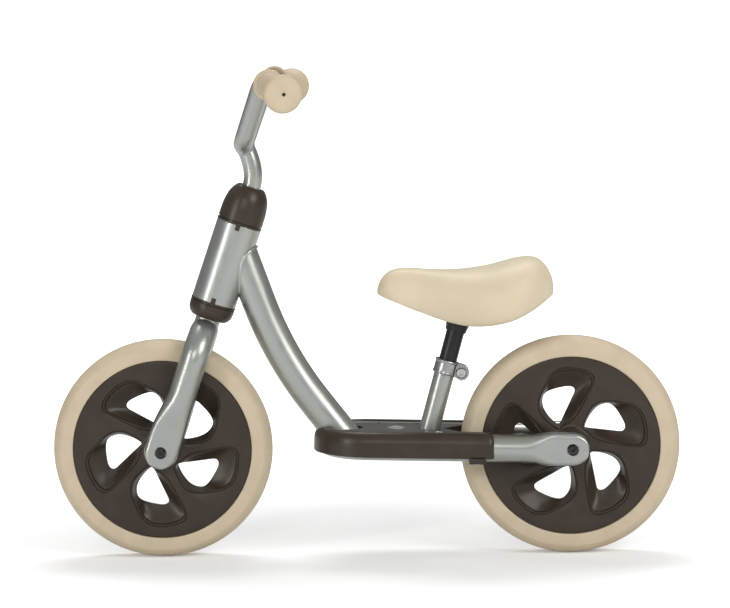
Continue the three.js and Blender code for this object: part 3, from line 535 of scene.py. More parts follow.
def softbox(name, at, size, watts, aim=(0, 0, 0.25)):
    light = bpy.data.lights.new(name, "AREA")
    light.shape = "RECTANGLE"
    light.size, light.size_y = size
    light.energy = watts
    made = bpy.data.objects.new(name, light)
    bpy.context.scene.collection.objects.link(made)
    made.location = at
    made.rotation_euler = (Vector(aim) - Vector(at)).to_track_quat("-Z", "Y").to_euler()


SURROUND_SEEN = 1.05
SURROUND_LIGHT = (0.26, 0.6)  # near the horizon, and straight overhead


def studio():
    """A surround that looks white but lights softly, brightest overhead, and soft boxes."""
    world = bpy.data.worlds.new("studio")
    world.use_nodes = True
    tree = world.node_tree
    seen = tree.nodes["Background"]
    seen.inputs["Color"].default_value = (1, 1, 1, 1)
    seen.inputs["Strength"].default_value = SURROUND_SEEN
    lit = tree.nodes.new("ShaderNodeBackground")
    place = tree.nodes.new("ShaderNodeTexCoord")
    axes = tree.nodes.new("ShaderNodeSeparateXYZ")
    tree.links.new(place.outputs["Generated"], axes.inputs["Vector"])
    rise = remapped(tree, axes.outputs["Z"], (0.1, 1), SURROUND_LIGHT)
    tree.links.new(rise, lit.inputs["Strength"])
    ray = tree.nodes.new("ShaderNodeLightPath")
    either = tree.nodes.new("ShaderNodeMixShader")
    tree.links.new(ray.outputs["Is Camera Ray"], either.inputs["Fac"])
    tree.links.new(lit.outputs["Background"], either.inputs[1])
    tree.links.new(seen.outputs["Background"], either.inputs[2])
    tree.links.new(either.outputs["Shader"], tree.nodes["World Output"].inputs["Surface"])
    bpy.context.scene.world = world
    bpy.context.scene.view_settings.view_transform = "Standard"
    softbox("rear_quarter_box", (-2.1, 2.1, 1.9), (1.5, 1.5), 52)
    softbox("front_quarter_strip", (2.35, 2.2, 1.0), (0.3, 1.8), 30)
    softbox("overhead_box", (0.0, -1.0, 2.4), (1.6, 0.6), 26)
    softbox("low_fill", (0.3, 3.6, 1.6), (1.2, 0.8), 18)


# ---- pressed tube legs

FLAT_RADIUS = 20.5  # the pressed face's own radius about the axle
PRESS_FROM = 22  # from here on the leg narrows to its tube
BASE_ROUND_FROM = 52  # past this the leg is a plain round tube
FORK_ROUND_FROM = 74
PRESS_CREASE = 4.5  # how softly the flat face turns into the round side
END_ROUND = 3  # the rounding of the leg's very end
FAR_ALONG = 1e3  # any distance well past the press
LEG_STRAIGHT = 233  # the base tube's legs, from the axle to the bend
CROWN_REACH = 144  # from the front axle up to the fork's crown
FORK_BEND = 34


def leg_section(along, angle, round_from):
    """A leg's surface, as (across the bike, in the leg's own plane), near its axle."""
    if along < 0:
        half_width = math.sqrt(max(DROPOUT_RADIUS**2 - along**2, 1e-4))
    else:
        half_width = mix(DROPOUT_RADIUS, TUBE_RADIUS, smooth(along, PRESS_FROM, round_from))
    wide = half_width * math.sin(angle)
    off = TUBE_RADIUS * math.cos(angle)
    reach = math.hypot(along, wide)
    risen = smooth(reach, FLAT_RADIUS - 1, round_from + 6)
    limit = DROPOUT_HALF + (TUBE_RADIUS + 3 - DROPOUT_HALF) * risen
    edge = max(-along - (DROPOUT_RADIUS - END_ROUND), 0) / END_ROUND
    limit *= math.sqrt(max(1 - edge**2, 1e-3))
    return math.copysign(soft_min(abs(off), limit, PRESS_CREASE), off), wide


def leg_stations(straight):
    """Distances from the axle along a leg: closer together where its form changes."""
    end = [-DROPOUT_RADIUS * math.cos(math.radians(a)) for a in range(0, 90, 5)]
    pressed = [2 * k for k in range(41)]
    plain = [mix(80, straight, k / 6) for k in range(1, 6)]
    return end + pressed + plain


def u_tube(straight, leg_y, bend, rake, round_from):
    """Both legs and the bend between them; each leg ends pressed flat at its axle.

    In the tube's own plane: X along the legs away from the axles, Y across the bike.
    """
    along = leg_stations(straight)
    leg = [Vector((a, leg_y, rake * (1 - smooth(a, PRESS_FROM, round_from)))) for a in along]
    far = straight + bend
    corners = [(0, leg_y, 0), (far, leg_y, 0), (far, -leg_y, 0), (0, -leg_y, 0)]
    turns = bent(corners, bend - 0.01)[1:-1]
    other = [Vector((p.x, -p.y, p.z)) for p in reversed(leg)]
    along = along + [FAR_ALONG] * len(turns) + list(reversed(along))

    def section(i, angle):
        return leg_section(along[i], angle, round_from)

    return tube(leg + turns + other, section, sides=72)


def axle_recess(leg_y, side):
    """The round well for the axle's screw, with a softened mouth, as a cutter."""
    face = leg_y + DROPOUT_HALF
    profile = [(RECESS_RADIUS, face - RECESS_DEPTH), (RECESS_RADIUS, face - 0.7),
               (RECESS_RADIUS + 0.7, face), (RECESS_RADIUS + 0.7, face + 6)]
    well = moved(turned(profile, 48), ACROSS)
    return moved(well, Matrix.Rotation(math.pi, 4, "Z")) if side < 0 else well


def base_tube():
    shape = u_tube(LEG_STRAIGHT, BASE_LEG_Y, BASE_LEG_Y, 0, BASE_ROUND_FROM)
    made = mesh_object("base_tube_painted", shape, BASE)
    carve(made, axle_recess(BASE_LEG_Y, 1), axle_recess(BASE_LEG_Y, -1), matrix=BASE)
    finished(made, "frame", SILVER, ["base_tube"])


def fork():
    straight = CROWN_REACH - FORK_BEND
    upright = Matrix.Translation((0, 0, -FORK_LENGTH)) @ Matrix.Rotation(math.radians(-90), 4, "Y")
    flipped = upright @ Matrix.Scale(-1, 4, (0, 0, 1))
    legs = u_tube(straight, FORK_LEG_Y, FORK_BEND, FORK_RAKE, FORK_ROUND_FROM)
    shape = moved(legs, flipped)
    made = mesh_object("fork_painted", shape, HEAD)
    axle = HEAD @ Matrix.Translation((FORK_RAKE, 0, -FORK_LENGTH))
    carve(made, axle_recess(FORK_LEG_Y, 1), axle_recess(FORK_LEG_Y, -1), matrix=axle)
    finished(made, "steering", SILVER, ["fork"])


# ---- other painted tubes

DOWN_CORNERS = [(149.5, 0, 369.7), (99.4, 0, 231.8), (17.5, 0, 126)]
DOWN_BEND = 420
DOWN_END = -11  # the foot of the down tube, below the base tube's axis

BAR_CORNERS = [(24, 26, 184), (24, 62, 261.2), (-6, 180, 258.7)]
BAR_BEND = 26
BAR_SHORT = 9  # how far the bar stops short of the grip's end
GRIP_LENGTH = 88
STEM_LOW = 62
STEM_BEND = [(0, 0, 139), (0, 0, 161), (24, 0, 184)]

HEAD_BORE = 18
NOTCH_HALF = 2.75  # a notch at each end of the head tube takes a cap's keys
NOTCH_DEPTH = 6.5


def head_tube():
    profile = softened([(HEAD_BORE, 0), (HEAD_RADIUS, 0), (HEAD_RADIUS, HEAD_LENGTH),
                        (HEAD_BORE, HEAD_LENGTH)], 0.8, closed=True)
    made = mesh_object("head_tube_painted", turned(profile, closed=True), HEAD)
    notches = [box_shape((-NOTCH_HALF, -40, end - NOTCH_DEPTH), (NOTCH_HALF, 40, end + NOTCH_DEPTH))
               for end in (0, HEAD_LENGTH)]
    carve(made, *notches, matrix=HEAD)
    finished(made, "frame", SILVER, ["head_tube"])


def down_tube():
    shape = tube(bent(DOWN_CORNERS, DOWN_BEND, 1.5), round_section(DOWN_TUBE_RADIUS), 80)
    made = mesh_object("down_tube_painted", shape, GROUND)
    head_room = turned([(HEAD_RADIUS + 0.2, -60), (HEAD_RADIUS + 0.2, HEAD_LENGTH + 60)])
    carve(made, head_room, box_shape((5, -50, -150), (105, 50, 250)), matrix=HEAD)
    carve(made, box_shape((150, -50, DOWN_END - 60), (350, 50, DOWN_END)), matrix=BASE)
    finished(made, "frame", SILVER, ["down_tube"])


def bar_route():
    left = [Vector(c) for c in BAR_CORNERS]
    back = (left[1] - left[2]).normalized()
    left[2] = left[2] + back * BAR_SHORT
    right = [Vector((c.x, -c.y, c.z)) for c in reversed(left)]
    return bent(right + left, BAR_BEND)


def stem_route():
    start, corner, end = (Vector(p) for p in STEM_BEND)
    steps = [k / 16 for k in range(17)]
    bend = [start * (1 - t) ** 2 + corner * (2 * t * (1 - t)) + end * t**2 for t in steps]
    return [Vector((0, 0, STEM_LOW)), *bend]


def handlebar():
    """The bent bar, and the stem that rises to meet it."""
    bar = mesh_object("handlebar_painted", tube(bar_route(), round_section(BAR_RADIUS), 56), HEAD)
    finished(bar, "steering", SILVER, ["handlebar"])
    stem = mesh_object("handlebar_stem_painted", tube(stem_route(), round_section(STEM_RADIUS), 56), HEAD)
    finished(stem, "steering", SILVER, ["handlebar_stem"])


def seat_tube():
    """A slit tube, its foot cut parallel to the base tube's plane."""
    bore = POST_RADIUS + 0.2
    low, high = -9, 98
    profile = softened([(bore, low), (SEAT_TUBE_RADIUS, low), (SEAT_TUBE_RADIUS, high), (bore, high)],
                       0.4, closed=True)
    made = mesh_object("seat_tube_painted", turned(profile, 72, closed=True), SEAT)
    tilt = Matrix.Rotation(SEAT_LEAN - BASE_LEAN, 4, "Y")
    carve(made, moved(box_shape((-60, -60, -40), (60, 60, -7.6)), tilt), matrix=SEAT)
    carve(made, box_shape((-17, -1, 80), (-5, 1, 104)), matrix=SEAT)
    finished(made, "frame", SILVER, ["seat_tube"])


# ---- weld beads


def from_route(point, route):
    """Distance of a point from a route."""
    nearest = math.inf
    for a, b in zip(route, route[1:]):
        run = b - a
        t = min(max((point - a).dot(run) / run.length_squared, 0), 1)
        nearest = min(nearest, (point - a - run * t).length)
    return nearest


def seam(route, radius, onto, reach, count=96):
    """Where a tube's skin, followed towards its end, meets another surface.

    onto(point) is negative inside the other surface; reach is how far to look.
    """
    end = route[-1]
    run = (end - route[-2]).normalized()
    side, up = carried_frames(route)[-1]
    points = []
    for k in range(count):
        angle = 2 * math.pi * k / count
        foot = end + (side * math.cos(angle) + up * math.sin(angle)) * radius
        low, high = -reach, 0.0
        for _ in range(18):
            middle = (low + high) / 2
            if onto(foot + run * middle) > 0:
                low = middle
            else:
                high = middle
        points.append(foot + run * low)
    return points


def bead(name, loop, size, body, matrix, ripples):
    """A weld bead along a closed seam, with the small overlapping waves of its pool."""
    rings = []
    count = len(loop)
    for i, here in enumerate(loop):
        run = (loop[(i + 1) % count] - loop[i - 1]).normalized()
        centre = sum(loop, Vector()) / count
        out = here - centre
        out = (out - run * out.dot(run)).normalized()
        side = run.cross(out)
        radius = size * (1 + 0.06 * math.sin(2 * math.pi * ripples * i / count))
        turns = [2 * math.pi * k / 12 for k in range(12)]
        flat = 0.45 * radius
        rings.append([here + out * (flat * math.cos(a)) + side * (radius * math.sin(a)) for a in turns])
    made = mesh_object(name, lofted(rings, closed=True), matrix)
    finished(made, body, SILVER, crease=80)


def weld_beads():
    head_axis = [HEAD @ Vector((0, 0, -60)) / MM, HEAD @ Vector((0, 0, 160)) / MM]
    down = list(reversed(bent(DOWN_CORNERS, DOWN_BEND, 1.5)))
    down_seam = seam(down, DOWN_TUBE_RADIUS, lambda p: from_route(p, head_axis) - HEAD_RADIUS, 60, 160)
    bead("weld_down_tube", down_seam, 2.9, "frame", GROUND, 30)
    bar = bar_route()
    stem_seam = seam(stem_route(), STEM_RADIUS, lambda p: from_route(p, bar) - BAR_RADIUS, 24)
    bead("weld_handlebar", stem_seam, 2.0, "steering", HEAD, 20)


# ---- wheels

SPOKES = 5
FIRST_OPENING = -60  # degrees from forwards, turning up
FACE = 18.2  # the rim's flat face, from the middle plane
OPENING_EDGE = 3.0
WHEEL_FLAT = Matrix(((1, 0, 0, 0), (0, 0, 1, 0), (0, 1, 0, 0), (0, 0, 0, 1)))

# One opening and the scooped pocket round it, as (distance from the hub, degrees).
OPENING = [(26.3, 2), (40, 7.5), (54, 5.5), (64, -1), (66.8, -9), (67, -22), (67, -31), (62.5, -35.3),
           (52, -32), (35, -19.5), (27.5, -7)]
POCKET = [(25, 10), (38, 15.5), (50, 15), (60.4, 9.6), (69, 1.5), (79.5, -8.5), (87, -15.2), (91.3, -23),
          (91, -33), (89.2, -43), (84.5, -49), (74, -50.3), (45, -46.3), (29, -35), (23.6, -12)]
SCOOP_CENTRE = (50, -14)
RAYS = 96

# The pocket's lip: (distance in from its outer line, depth below the face).
LIP = [(0, 0), (0.35, 0.12), (0.8, 1.5), (1.2, 1.9), (1.6, 1.9), (2.0, 1.5),
       (3.0, 1.4), (3.5, 1.7), (4.1, 3.2), (4.8, 6)]
RIM_EDGE = 101.4  # where the flat face ends
HUB_BOSS = 22.6
HUB_FACE = 26.5  # from the middle plane
HUB_BORE = 11.3


def distances(outline, centre):
    """How far the outline is from the centre along each of the evenly turned rays."""
    loop = [p - centre for p in spline([polar(*p) for p in outline], 12)]
    reach = []
    for k in range(RAYS):
        ray = polar(1, 360 * k / RAYS)
        best = 0
        for a, b in zip(loop, loop[1:] + loop[:1]):
            side_a, side_b = ray.cross(a), ray.cross(b)
            if side_a * side_b <= 0 and side_a != side_b:
                hit = a + (b - a) * (side_a / (side_a - side_b))
                best = max(best, hit.dot(ray))
        reach.append(best)
    return reach


def scoop_rings():
    """Rings from the pocket's outer line, over its lip and down to the opening."""
    centre = polar(*SCOOP_CENTRE)
    outer, inner = distances(POCKET, centre), distances(OPENING, centre)
    rays = [polar(1, 360 * k / RAYS) for k in range(RAYS)]

    def ring(reach, height):
        return [(centre + ray * r).to_3d() + Vector((0, 0, height)) for ray, r in zip(rays, reach)]

    lip_share = [min(1, 0.55 * (o - i) / LIP[-1][0]) for o, i in zip(outer, inner)]
    rings = [ring([o - s * step for o, s in zip(outer, lip_share)], FACE - depth) for step, depth in LIP]
    lip_end = [o - s * LIP[-1][0] for o, s in zip(outer, lip_share)]
    top = FACE - LIP[-1][1]
    for k in range(1, 11):
        t = k / 10
        height = mix(top, OPENING_EDGE, t**1.15) - 1.2 * math.sin(math.pi * t)
        rings.append(ring([mix(o, i, t**0.92) for o, i in zip(lip_end, inner)], height))
    rings.append(ring([i - 0.25 for i in inner], OPENING_EDGE - 1))
    rings.append(ring([i - 0.3 for i in inner], 0))
    return rings


def rim_half():
    """The rim on one side of the middle plane: face, pockets, edge, channel and hub."""
    rings = scoop_rings()
    turns = [Matrix.Rotation(math.radians(FIRST_OPENING + 360 * k / SPOKES), 4, "Z")
             for k in range(SPOKES)]
    scoop = lofted(rings, caps=False)
    shapes = [moved(scoop, turn) for turn in turns]
    holes = [[(turn @ p).to_2d() for p in rings[0]] for turn in turns]
    circle = [polar(RIM_EDGE, 360 * k / 160) for k in range(160)]
    hub = [polar(HUB_BOSS, 360 * k / 64) for k in range(64)]
    shapes.append(moved(filled(circle, [*holes, hub]), Matrix.Translation((0, 0, FACE))))
    outside = [(RIM_EDGE, FACE), (102.5, FACE - 0.3), (RIM_RADIUS, FACE - 1.2), (RIM_RADIUS, CHANNEL_HALF),
               (CHANNEL_RADIUS, CHANNEL_HALF), (CHANNEL_RADIUS, 0)]
    shapes.append(open_turned(outside, 160))
    barrel = [(HUB_BOSS, FACE), (21.6, FACE + 0.6), (20.8, 25.7), (20, 26.4), (12, HUB_FACE),
              (HUB_BORE, 25.8), (HUB_BORE, 0)]
    shapes.append(open_turned(barrel, 64))
    return joined(*shapes)


def open_turned(profile, segments):
    """A turned profile without the two end caps."""
    points, faces = turned(profile, segments)
    return points, faces[:-2]


def rim(prefix, matrix, flip):
    half = moved(rim_half(), WHEEL_FLAT)
    whole = joined(half, moved(half, Matrix.Scale(-1, 4, (0, 1, 0))))
    if flip:
        whole = moved(whole, Matrix.Rotation(math.pi, 4, "X"))
    made = mesh_object(f"{prefix}_rim_moulded", whole, matrix)
    finished(made, f"{prefix}_wheel", BROWN, [f"{prefix}_rim"], crease=38)


def tyre(prefix, matrix):
    """Foam tyre: a flat sidewall, a faint moulding ridge at the shoulder, a round tread."""
    wall = [(RIM_RADIUS + 0.3, 18.6), (104.2, 19.7), (108, TYRE_HALF), (114, TYRE_HALF)]
    shoulder = [(117.4, 19.55), (118.3, 19.0), (120.6, 17.4), (123.3, 14), (125.3, 9.5), (126.5, 5)]
    foot = CHANNEL_HALF - 0.3
    side = spline([*wall, *shoulder], 4, closed=False)
    upper = [(CHANNEL_RADIUS + 0.3, foot), (RIM_RADIUS + 0.3, foot), *side]
    profile = [*upper, (WHEEL_RADIUS, 0), *[(r, -h) for r, h in reversed(upper)]]
    ring = moved(turned(profile, 192, closed=True), ACROSS)
    made = mesh_object(f"{prefix}_tyre_foam", ring, matrix)
    finished(made, f"{prefix}_wheel", FOAM, [f"{prefix}_tyre"], crease=50)


# ---- head caps


def key_tabs(low, high):
    """A cap's two keys, which fill the notches of the head tube."""
    near, far, half = HEAD_BORE, HEAD_RADIUS + 0.15, NOTCH_HALF - 0.35
    left = box_shape((-half, near, low), (half, far, high))
    right = box_shape((-half, -far, low), (half, -near, high))
    return joined(left, right)


def head_caps():
    """Two moulded caps: a rim against the tube, a groove, then a skirt that rounds in."""
    base = HEAD_LENGTH + 0.3
    outside = [(26.4, 0), (26.4, 1.7), (24.6, 2.0), (24.6, 2.9), (26.1, 3.4),
               (26, 14), (25.4, 22), (23.4, 32), (19.8, 39.5), (16.4, 43.6)]
    crown = spline([*outside[4:], (15.0, 44.7)], 5, closed=False)
    inside = [(13.2, 44.7), (12.6, 44.2), (12.6, 42), (17, 38), (22, 20), (22.6, 0)]
    profile = [*outside[:4], *crown, *inside]
    upper = turned([(r, base + h) for r, h in profile], closed=True)
    tabs = key_tabs(HEAD_LENGTH - 6.2, base + 1)
    made = mesh_object("head_upper_cap_moulded", joined(upper, tabs), HEAD)
    finished(made, "frame", BROWN, ["head_upper_cap"])
    outside = [(26.5, -0.3), (26.5, -1.8), (24.6, -2.1), (24.6, -3.0), (26.2, -3.4),
               (26, -8.5), (25.2, -12.8), (23, -16.8), (20.4, -19.2)]
    skirt = spline(outside[4:], 5, closed=False)
    inside = [(19.2, -19.6), (18.4, -19.2), (18.4, -17.8), (22.4, -11.6), (22.8, -0.3)]
    lower = turned([*outside[:4], *skirt, *inside], closed=True)
    made = mesh_object("head_lower_cap_moulded", joined(lower, key_tabs(-1, 6.2)), HEAD)
    finished(made, "frame", BROWN, ["head_lower_cap"])


# ---- grips


def grip(label, sign):
    """Soft grip: inner flange, plain barrel, and a big round end with a vent hole."""
    bore = BAR_RADIUS + 0.3
    lip = softened([(15.3, 0), (17.6, 0), (17.6, 4), (14.6, 5.4), (14.6, 8)], 0.9)
    flange = [(bore, 3.4), (15.3, 3.4), *lip]
    bulb = spline([(14.8, 62), (16.8, 69), (19.9, 75.5), (21.5, 81), (20.3, 85.4), (16, 87.6),
                   (9, GRIP_LENGTH), (3.2, GRIP_LENGTH)], 6, closed=False)
    vent = softened([(3.2, GRIP_LENGTH), (2.1, 87.4), (2.1, 82)], 0.6)
    inside = [(bore, 81), (bore, 0)]
    shape = open_turned([*flange, *bulb, *vent[1:], *inside], 80)
    end = Vector(BAR_CORNERS[2])
    end.y *= sign
    shoulder = Vector(BAR_CORNERS[1])
    shoulder.y *= sign
    outward = (end - shoulder).normalized()
    turn = Vector((0, 0, 1)).rotation_difference(outward).to_matrix().to_4x4()
    set_on = HEAD @ Matrix.Translation(end - outward * GRIP_LENGTH) @ turn
    made = mesh_object(f"grip_{label}_soft", shape, set_on)
    finished(made, "steering", GRIP, [f"grip_{label}"])


# ---- seat

POST_FOOT = 28
POST_TOP = 142
POST_WALL = 2.5
SOCKET_FOOT = 133
SOCKET_TOP = 156
CLAMP_BOLT = (-18.4, 88.6)
CLAMP_FOOT = 82
CLAMP_TOP = 98.6


def seat_post():
    """The post, and the flared socket between it and the saddle."""
    bore = POST_RADIUS - POST_WALL
    profile = softened([(bore, POST_FOOT), (POST_RADIUS, POST_FOOT), (POST_RADIUS, POST_TOP),
                        (bore, POST_TOP)], 0.8, closed=True)
    made = mesh_object("seat_post_painted", turned(profile, 72, closed=True), SEAT)
    finished(made, "seat", BLACK, ["seat_post"])
    bore = POST_RADIUS + 0.2
    cup = softened([(bore, SOCKET_FOOT), (12, SOCKET_FOOT), (12.5, 137), (13.4, 141), (15.6, 146),
                    (16.4, SOCKET_TOP), (bore, SOCKET_TOP)], 0.6, closed=True)
    made = mesh_object("saddle_socket_painted", turned(cup, 72, closed=True), SEAT)
    finished(made, "seat", BLACK, ["saddle_socket"])


def clamp_ear(low_y, high_y):
    """One of the collar's two ears: a round lug drawn out of the band."""
    x, z = CLAMP_BOLT
    lug = [Vector((x, z)) + polar(9.4, angle) for angle in range(100, 265, 10)]
    outline = [Vector((-6, 98.4)), *lug, Vector((-13, 81.4)), Vector((-6, CLAMP_FOOT))]
    middle = sum(outline, Vector((0, 0))) / len(outline)
    rings = []
    near = [(1, low_y), (0.3, low_y + 0.3), (0, low_y + 1)]
    far = [(0, high_y - 1), (0.3, high_y - 0.3), (1, high_y)]
    for inset, y in near + far:
        ring = [p + (middle - p).normalized() * inset for p in outline]
        rings.append([Vector((p.x, y, p.y)) for p in ring])
    return lofted(rings)


def seat_clamp():
    """A split band with a raised edge at each end, two ears, and a bolt across them."""
    bore = SEAT_TUBE_RADIUS + 0.2
    foot_edge = [(13.8, CLAMP_FOOT), (14.4, 83.4), (13.7, 85.6)]
    top_edge = [(13.7, 95.2), (14.4, 97.2), (13.8, CLAMP_TOP)]
    profile = softened([(bore, CLAMP_FOOT), *foot_edge, *top_edge, (bore, CLAMP_TOP)],
                       0.5, closed=True)
    band = turned(profile, 80, closed=True)
    made = mesh_object("seat_clamp_band", band, SEAT)
    carve(made, box_shape((-20, -1.2, 70), (-8, 1.2, 110)), matrix=SEAT)
    finished(made, "frame", ALLOY, ["seat_clamp_collar"])
    ears = joined(clamp_ear(1.2, 8), clamp_ear(-8, -1.2))
    made = mesh_object("seat_clamp_ears", ears, SEAT)
    carve(made, turned([(bore, 60), (bore, 120)], 64), matrix=SEAT)
    at = SEAT @ Matrix.Translation((CLAMP_BOLT[0], 0, CLAMP_BOLT[1])) @ ACROSS
    head = [(2.9, 5), (5.1, 5), (5.2, 11.4), (4.7, 12), (3.1, 12), (2.8, 11.7), (2.6, 8.8), (0.2, 8.6)]
    carve(made, turned([(5.3, 4.5), (6.6, 4.5), (6.6, 20), (5.3, 20)], 56, closed=True), matrix=at)
    finished(made, "frame", ALLOY)
    made = mesh_object("seat_clamp_bolt_head", turned([(2.9, -8), *head], 56), at)
    finished(made, "frame", STEEL, ["seat_clamp_bolt"])
    nut = softened([(3.2, -8.2), (5.8, -8.2), (5.8, -12.6), (3.2, -12.6)], 0.5, closed=True)
    made = mesh_object("seat_clamp_hex_nut", turned(nut, 6, closed=True), at)
    finished(made, "frame", STEEL, ["seat_clamp_nut"])


# ---- saddle

SADDLE_TOP = [(-14, 304.5), (-14.6, 311), (-18, 319.5), (-25.5, 328), (-37, 332.6), (-53, 333.3),
              (-75, 331.7), (-95, 331), (-115, 331.7), (-140, 334.9), (-160, 339.8), (-176, 343.8),
              (-189, 345), (-200, 342.6), (-209.5, 334), (-215.7, 321), (-217.6, 306.5), (-217.3, 303)]
SADDLE_EDGE = [(-14, 304.5), (-16.5, 302.5), (-35, 295), (-56, 286.5), (-80, 278), (-99, 272.8),
               (-115, 270), (-131, 269.6), (-150, 271.8), (-170, 277), (-190, 286.5), (-209, 298),
               (-217.3, 303)]

# Half of the saddle's cross-section: (share of the half width, share of the height).
SADDLE_SECTION = [(0, 1), (0.34, 0.985), (0.64, 0.91), (0.86, 0.745), (0.97, 0.5), (0.985, 0.28),
                  (0.95, 0.11), (0.9, 0.02), (0.85, 0), (0.78, 0.03), (0.5, 0.09), (0, 0.12)]
SADDLE_NOSE = -14.0
SADDLE_TAIL = -217.5
SADDLE_SLICES = 120


def height_at(outline, x):
    """The height of an outline that runs from the nose to the tail."""
    for a, b in zip(outline, outline[1:]):
        if a.x >= x >= b.x and a.x > b.x:
            return mix(a.y, b.y, (a.x - x) / (a.x - b.x))
    return outline[0].y if x > outline[0].x else outline[-1].y


def saddle_half_width(x):
    """A slim nose that widens to the rear, rounded in plan at both ends."""
    width = 24 + 45 * smooth(-x, 40, 165)
    from_nose = min((SADDLE_NOSE - x) / 30, 1)
    from_tail = min((x - SADDLE_TAIL) / 62, 1)
    nose_round = math.sqrt(max(1 - (1 - from_nose) ** 2.2, 0))
    tail_round = math.sqrt(max(1 - (1 - from_tail) ** 2.3, 0))
    return width * nose_round * tail_round


def saddle():
    """Slices from nose to tail, closer together at both ends."""
    top = spline(SADDLE_TOP, 10, closed=False)
    edge = spline(SADDLE_EDGE, 10, closed=False)
    half = spline(SADDLE_SECTION, 6, closed=False)
    loop = half + [Vector((-p.x, p.y)) for p in reversed(half[1:-1])]
    rings = []
    for k in range(SADDLE_SLICES + 1):
        turn = math.pi * (0.012 + 0.976 * k / SADDLE_SLICES)
        x = mix(SADDLE_TAIL, SADDLE_NOSE, (1 + math.cos(turn)) / 2)
        high, low = height_at(top, x), height_at(edge, x)
        wide = saddle_half_width(x)
        rings.append([Vector((x, wide * p.x, mix(low, high, p.y))) for p in loop])
    made = mesh_object("saddle_foam", lofted(rings), GROUND)
    finished(made, "seat", SKIN, ["saddle"], crease=60)


# ---- footboard

BOARD_TOP = 18
BOARD_HALF = 65
BOARD_NOSE = 232  # centre of the round nose, ahead of the rear axle
BOARD_REAR = 90
BOARD_SKIRT = -10.5
BOARD_WALL = 2.4
SLOT_HALF = 25
SLOT_APEX = 147  # the front of the wheel slot, which narrows to a blunt V
SLOT_SHOULDER = 127
TREAD_SINK = 2.4
TREAD_HEIGHT = BOARD_TOP - TREAD_SINK
SKIN_IN = (11, 3, 4)  # the outer skin rounds in by this at its sides, slot and rear
BORDER = 6  # from there over the raised border, down to the tread
SLOT_MARGIN = (12, 13)  # how far the borderless part reaches ahead of and beside the slot
BOARD_HOLE = (202, 0)
HOLE_RADIUS = 10.5
DIMPLES = [(222, 36), (177, 36)]
TOP_SCREW = (153, 40)
TAB_SCREW = (109, 56)
TAB_MIDDLE = (109, 58)
TAB_HALF = (10, 7)
TAB_LOW = -16.5


def arc(centre, radius, start, stop, steps):
    return [Vector(centre) + polar(radius, mix(start, stop, k / steps)) for k in range(steps + 1)]


def board_plan(side, slot, rear):
    """The board's plan, drawn in by these amounts at its sides, its slot and its rear."""
    half = BOARD_HALF - side
    slot_half = SLOT_HALF + slot
    back = BOARD_REAR + rear
    corner = 6
    plan = arc((back + corner, half - corner), corner, 180, 90, 6)
    plan += [Vector((x, half)) for x in range(110, 230, 20)]
    plan += arc((BOARD_NOSE, 0), half, 90, -90, 48)
    plan += [Vector((x, -half)) for x in range(210, 90, -20)]
    plan += arc((back + corner, -half + corner), corner, 270, 180, 6)
    plan += arc((back + 3, -slot_half - 3), 3, 180, 90, 4)
    front = SLOT_APEX + slot
    plan += softened([(back + 6, -slot_half), (SLOT_SHOULDER, -slot_half), (front - 2, -3), (front - 2, 3),
                      (SLOT_SHOULDER, slot_half), (back + 6, slot_half)], 5)[1:-1]
    plan += arc((back + 3, slot_half + 3), 3, 270, 180, 4)
    return plan


def by_slot(point):
    """Whether a point of the plan lies by the wheel slot, where there is no border."""
    ahead, beside = SLOT_MARGIN
    return abs(point.y) < SLOT_HALF + beside and point.x < SLOT_APEX + ahead


def board_shell():
    """The skin from the skirt's inner lip, round the outside, to the sunk tread."""
    def ring(side, slot, rear, height):
        low = min(height, TREAD_HEIGHT)
        plan = board_plan(side, slot, rear)
        return [Vector((p.x, p.y, low if by_slot(p) else height)) for p in plan]

    skirt = [(BOARD_WALL, 0), (BOARD_WALL, BOARD_SKIRT + 0.6), (1.8, BOARD_SKIRT), (0.7, BOARD_SKIRT),
             (0, BOARD_SKIRT + 0.8), (0, 2)]
    rings = [ring(inset, inset, inset, height) for inset, height in skirt]
    side, slot, rear = SKIN_IN
    for k in range(1, 13):
        turn = math.pi / 2 * k / 12
        swing, lift = 1 - math.cos(turn), 1 - math.sin(turn)
        rings.append(ring(side * swing, slot * swing, rear * swing, mix(BOARD_TOP, 3, lift)))
    border = [(2, 0), (3.5, 0.05), (4.3, 0.3), (5.2, TREAD_SINK - 0.3), (BORDER, TREAD_SINK)]
    for extra, drop in border:
        rings.append(ring(side + extra, slot + extra / BORDER, rear + extra, BOARD_TOP - drop))
    return lofted(rings, caps=False)


def tilted_hole(centre, radius, lean):
    """Where a round tube that leans back passes through the board's top."""
    return [Vector((centre + math.cos(a) * radius / math.cos(lean), math.sin(a) * radius))
            for a in (2 * math.pi * k / 48 for k in range(48))]


def hole_wall(hole, depth):
    """The wall of a hole in the tread, with a softened mouth."""
    centre = sum(hole, Vector((0, 0))) / len(hole)
    mouth = [Vector((p.x, p.y, TREAD_HEIGHT)) for p in hole]
    sunk = Vector((0, 0, TREAD_HEIGHT - 0.4))
    turn_in = [(p + (centre - p).normalized() * 0.4).to_3d() + sunk for p in hole]
    foot = [Vector((p.x, p.y, TREAD_HEIGHT - depth)) for p in turn_in]
    return lofted([mouth, turn_in, foot], caps=False)


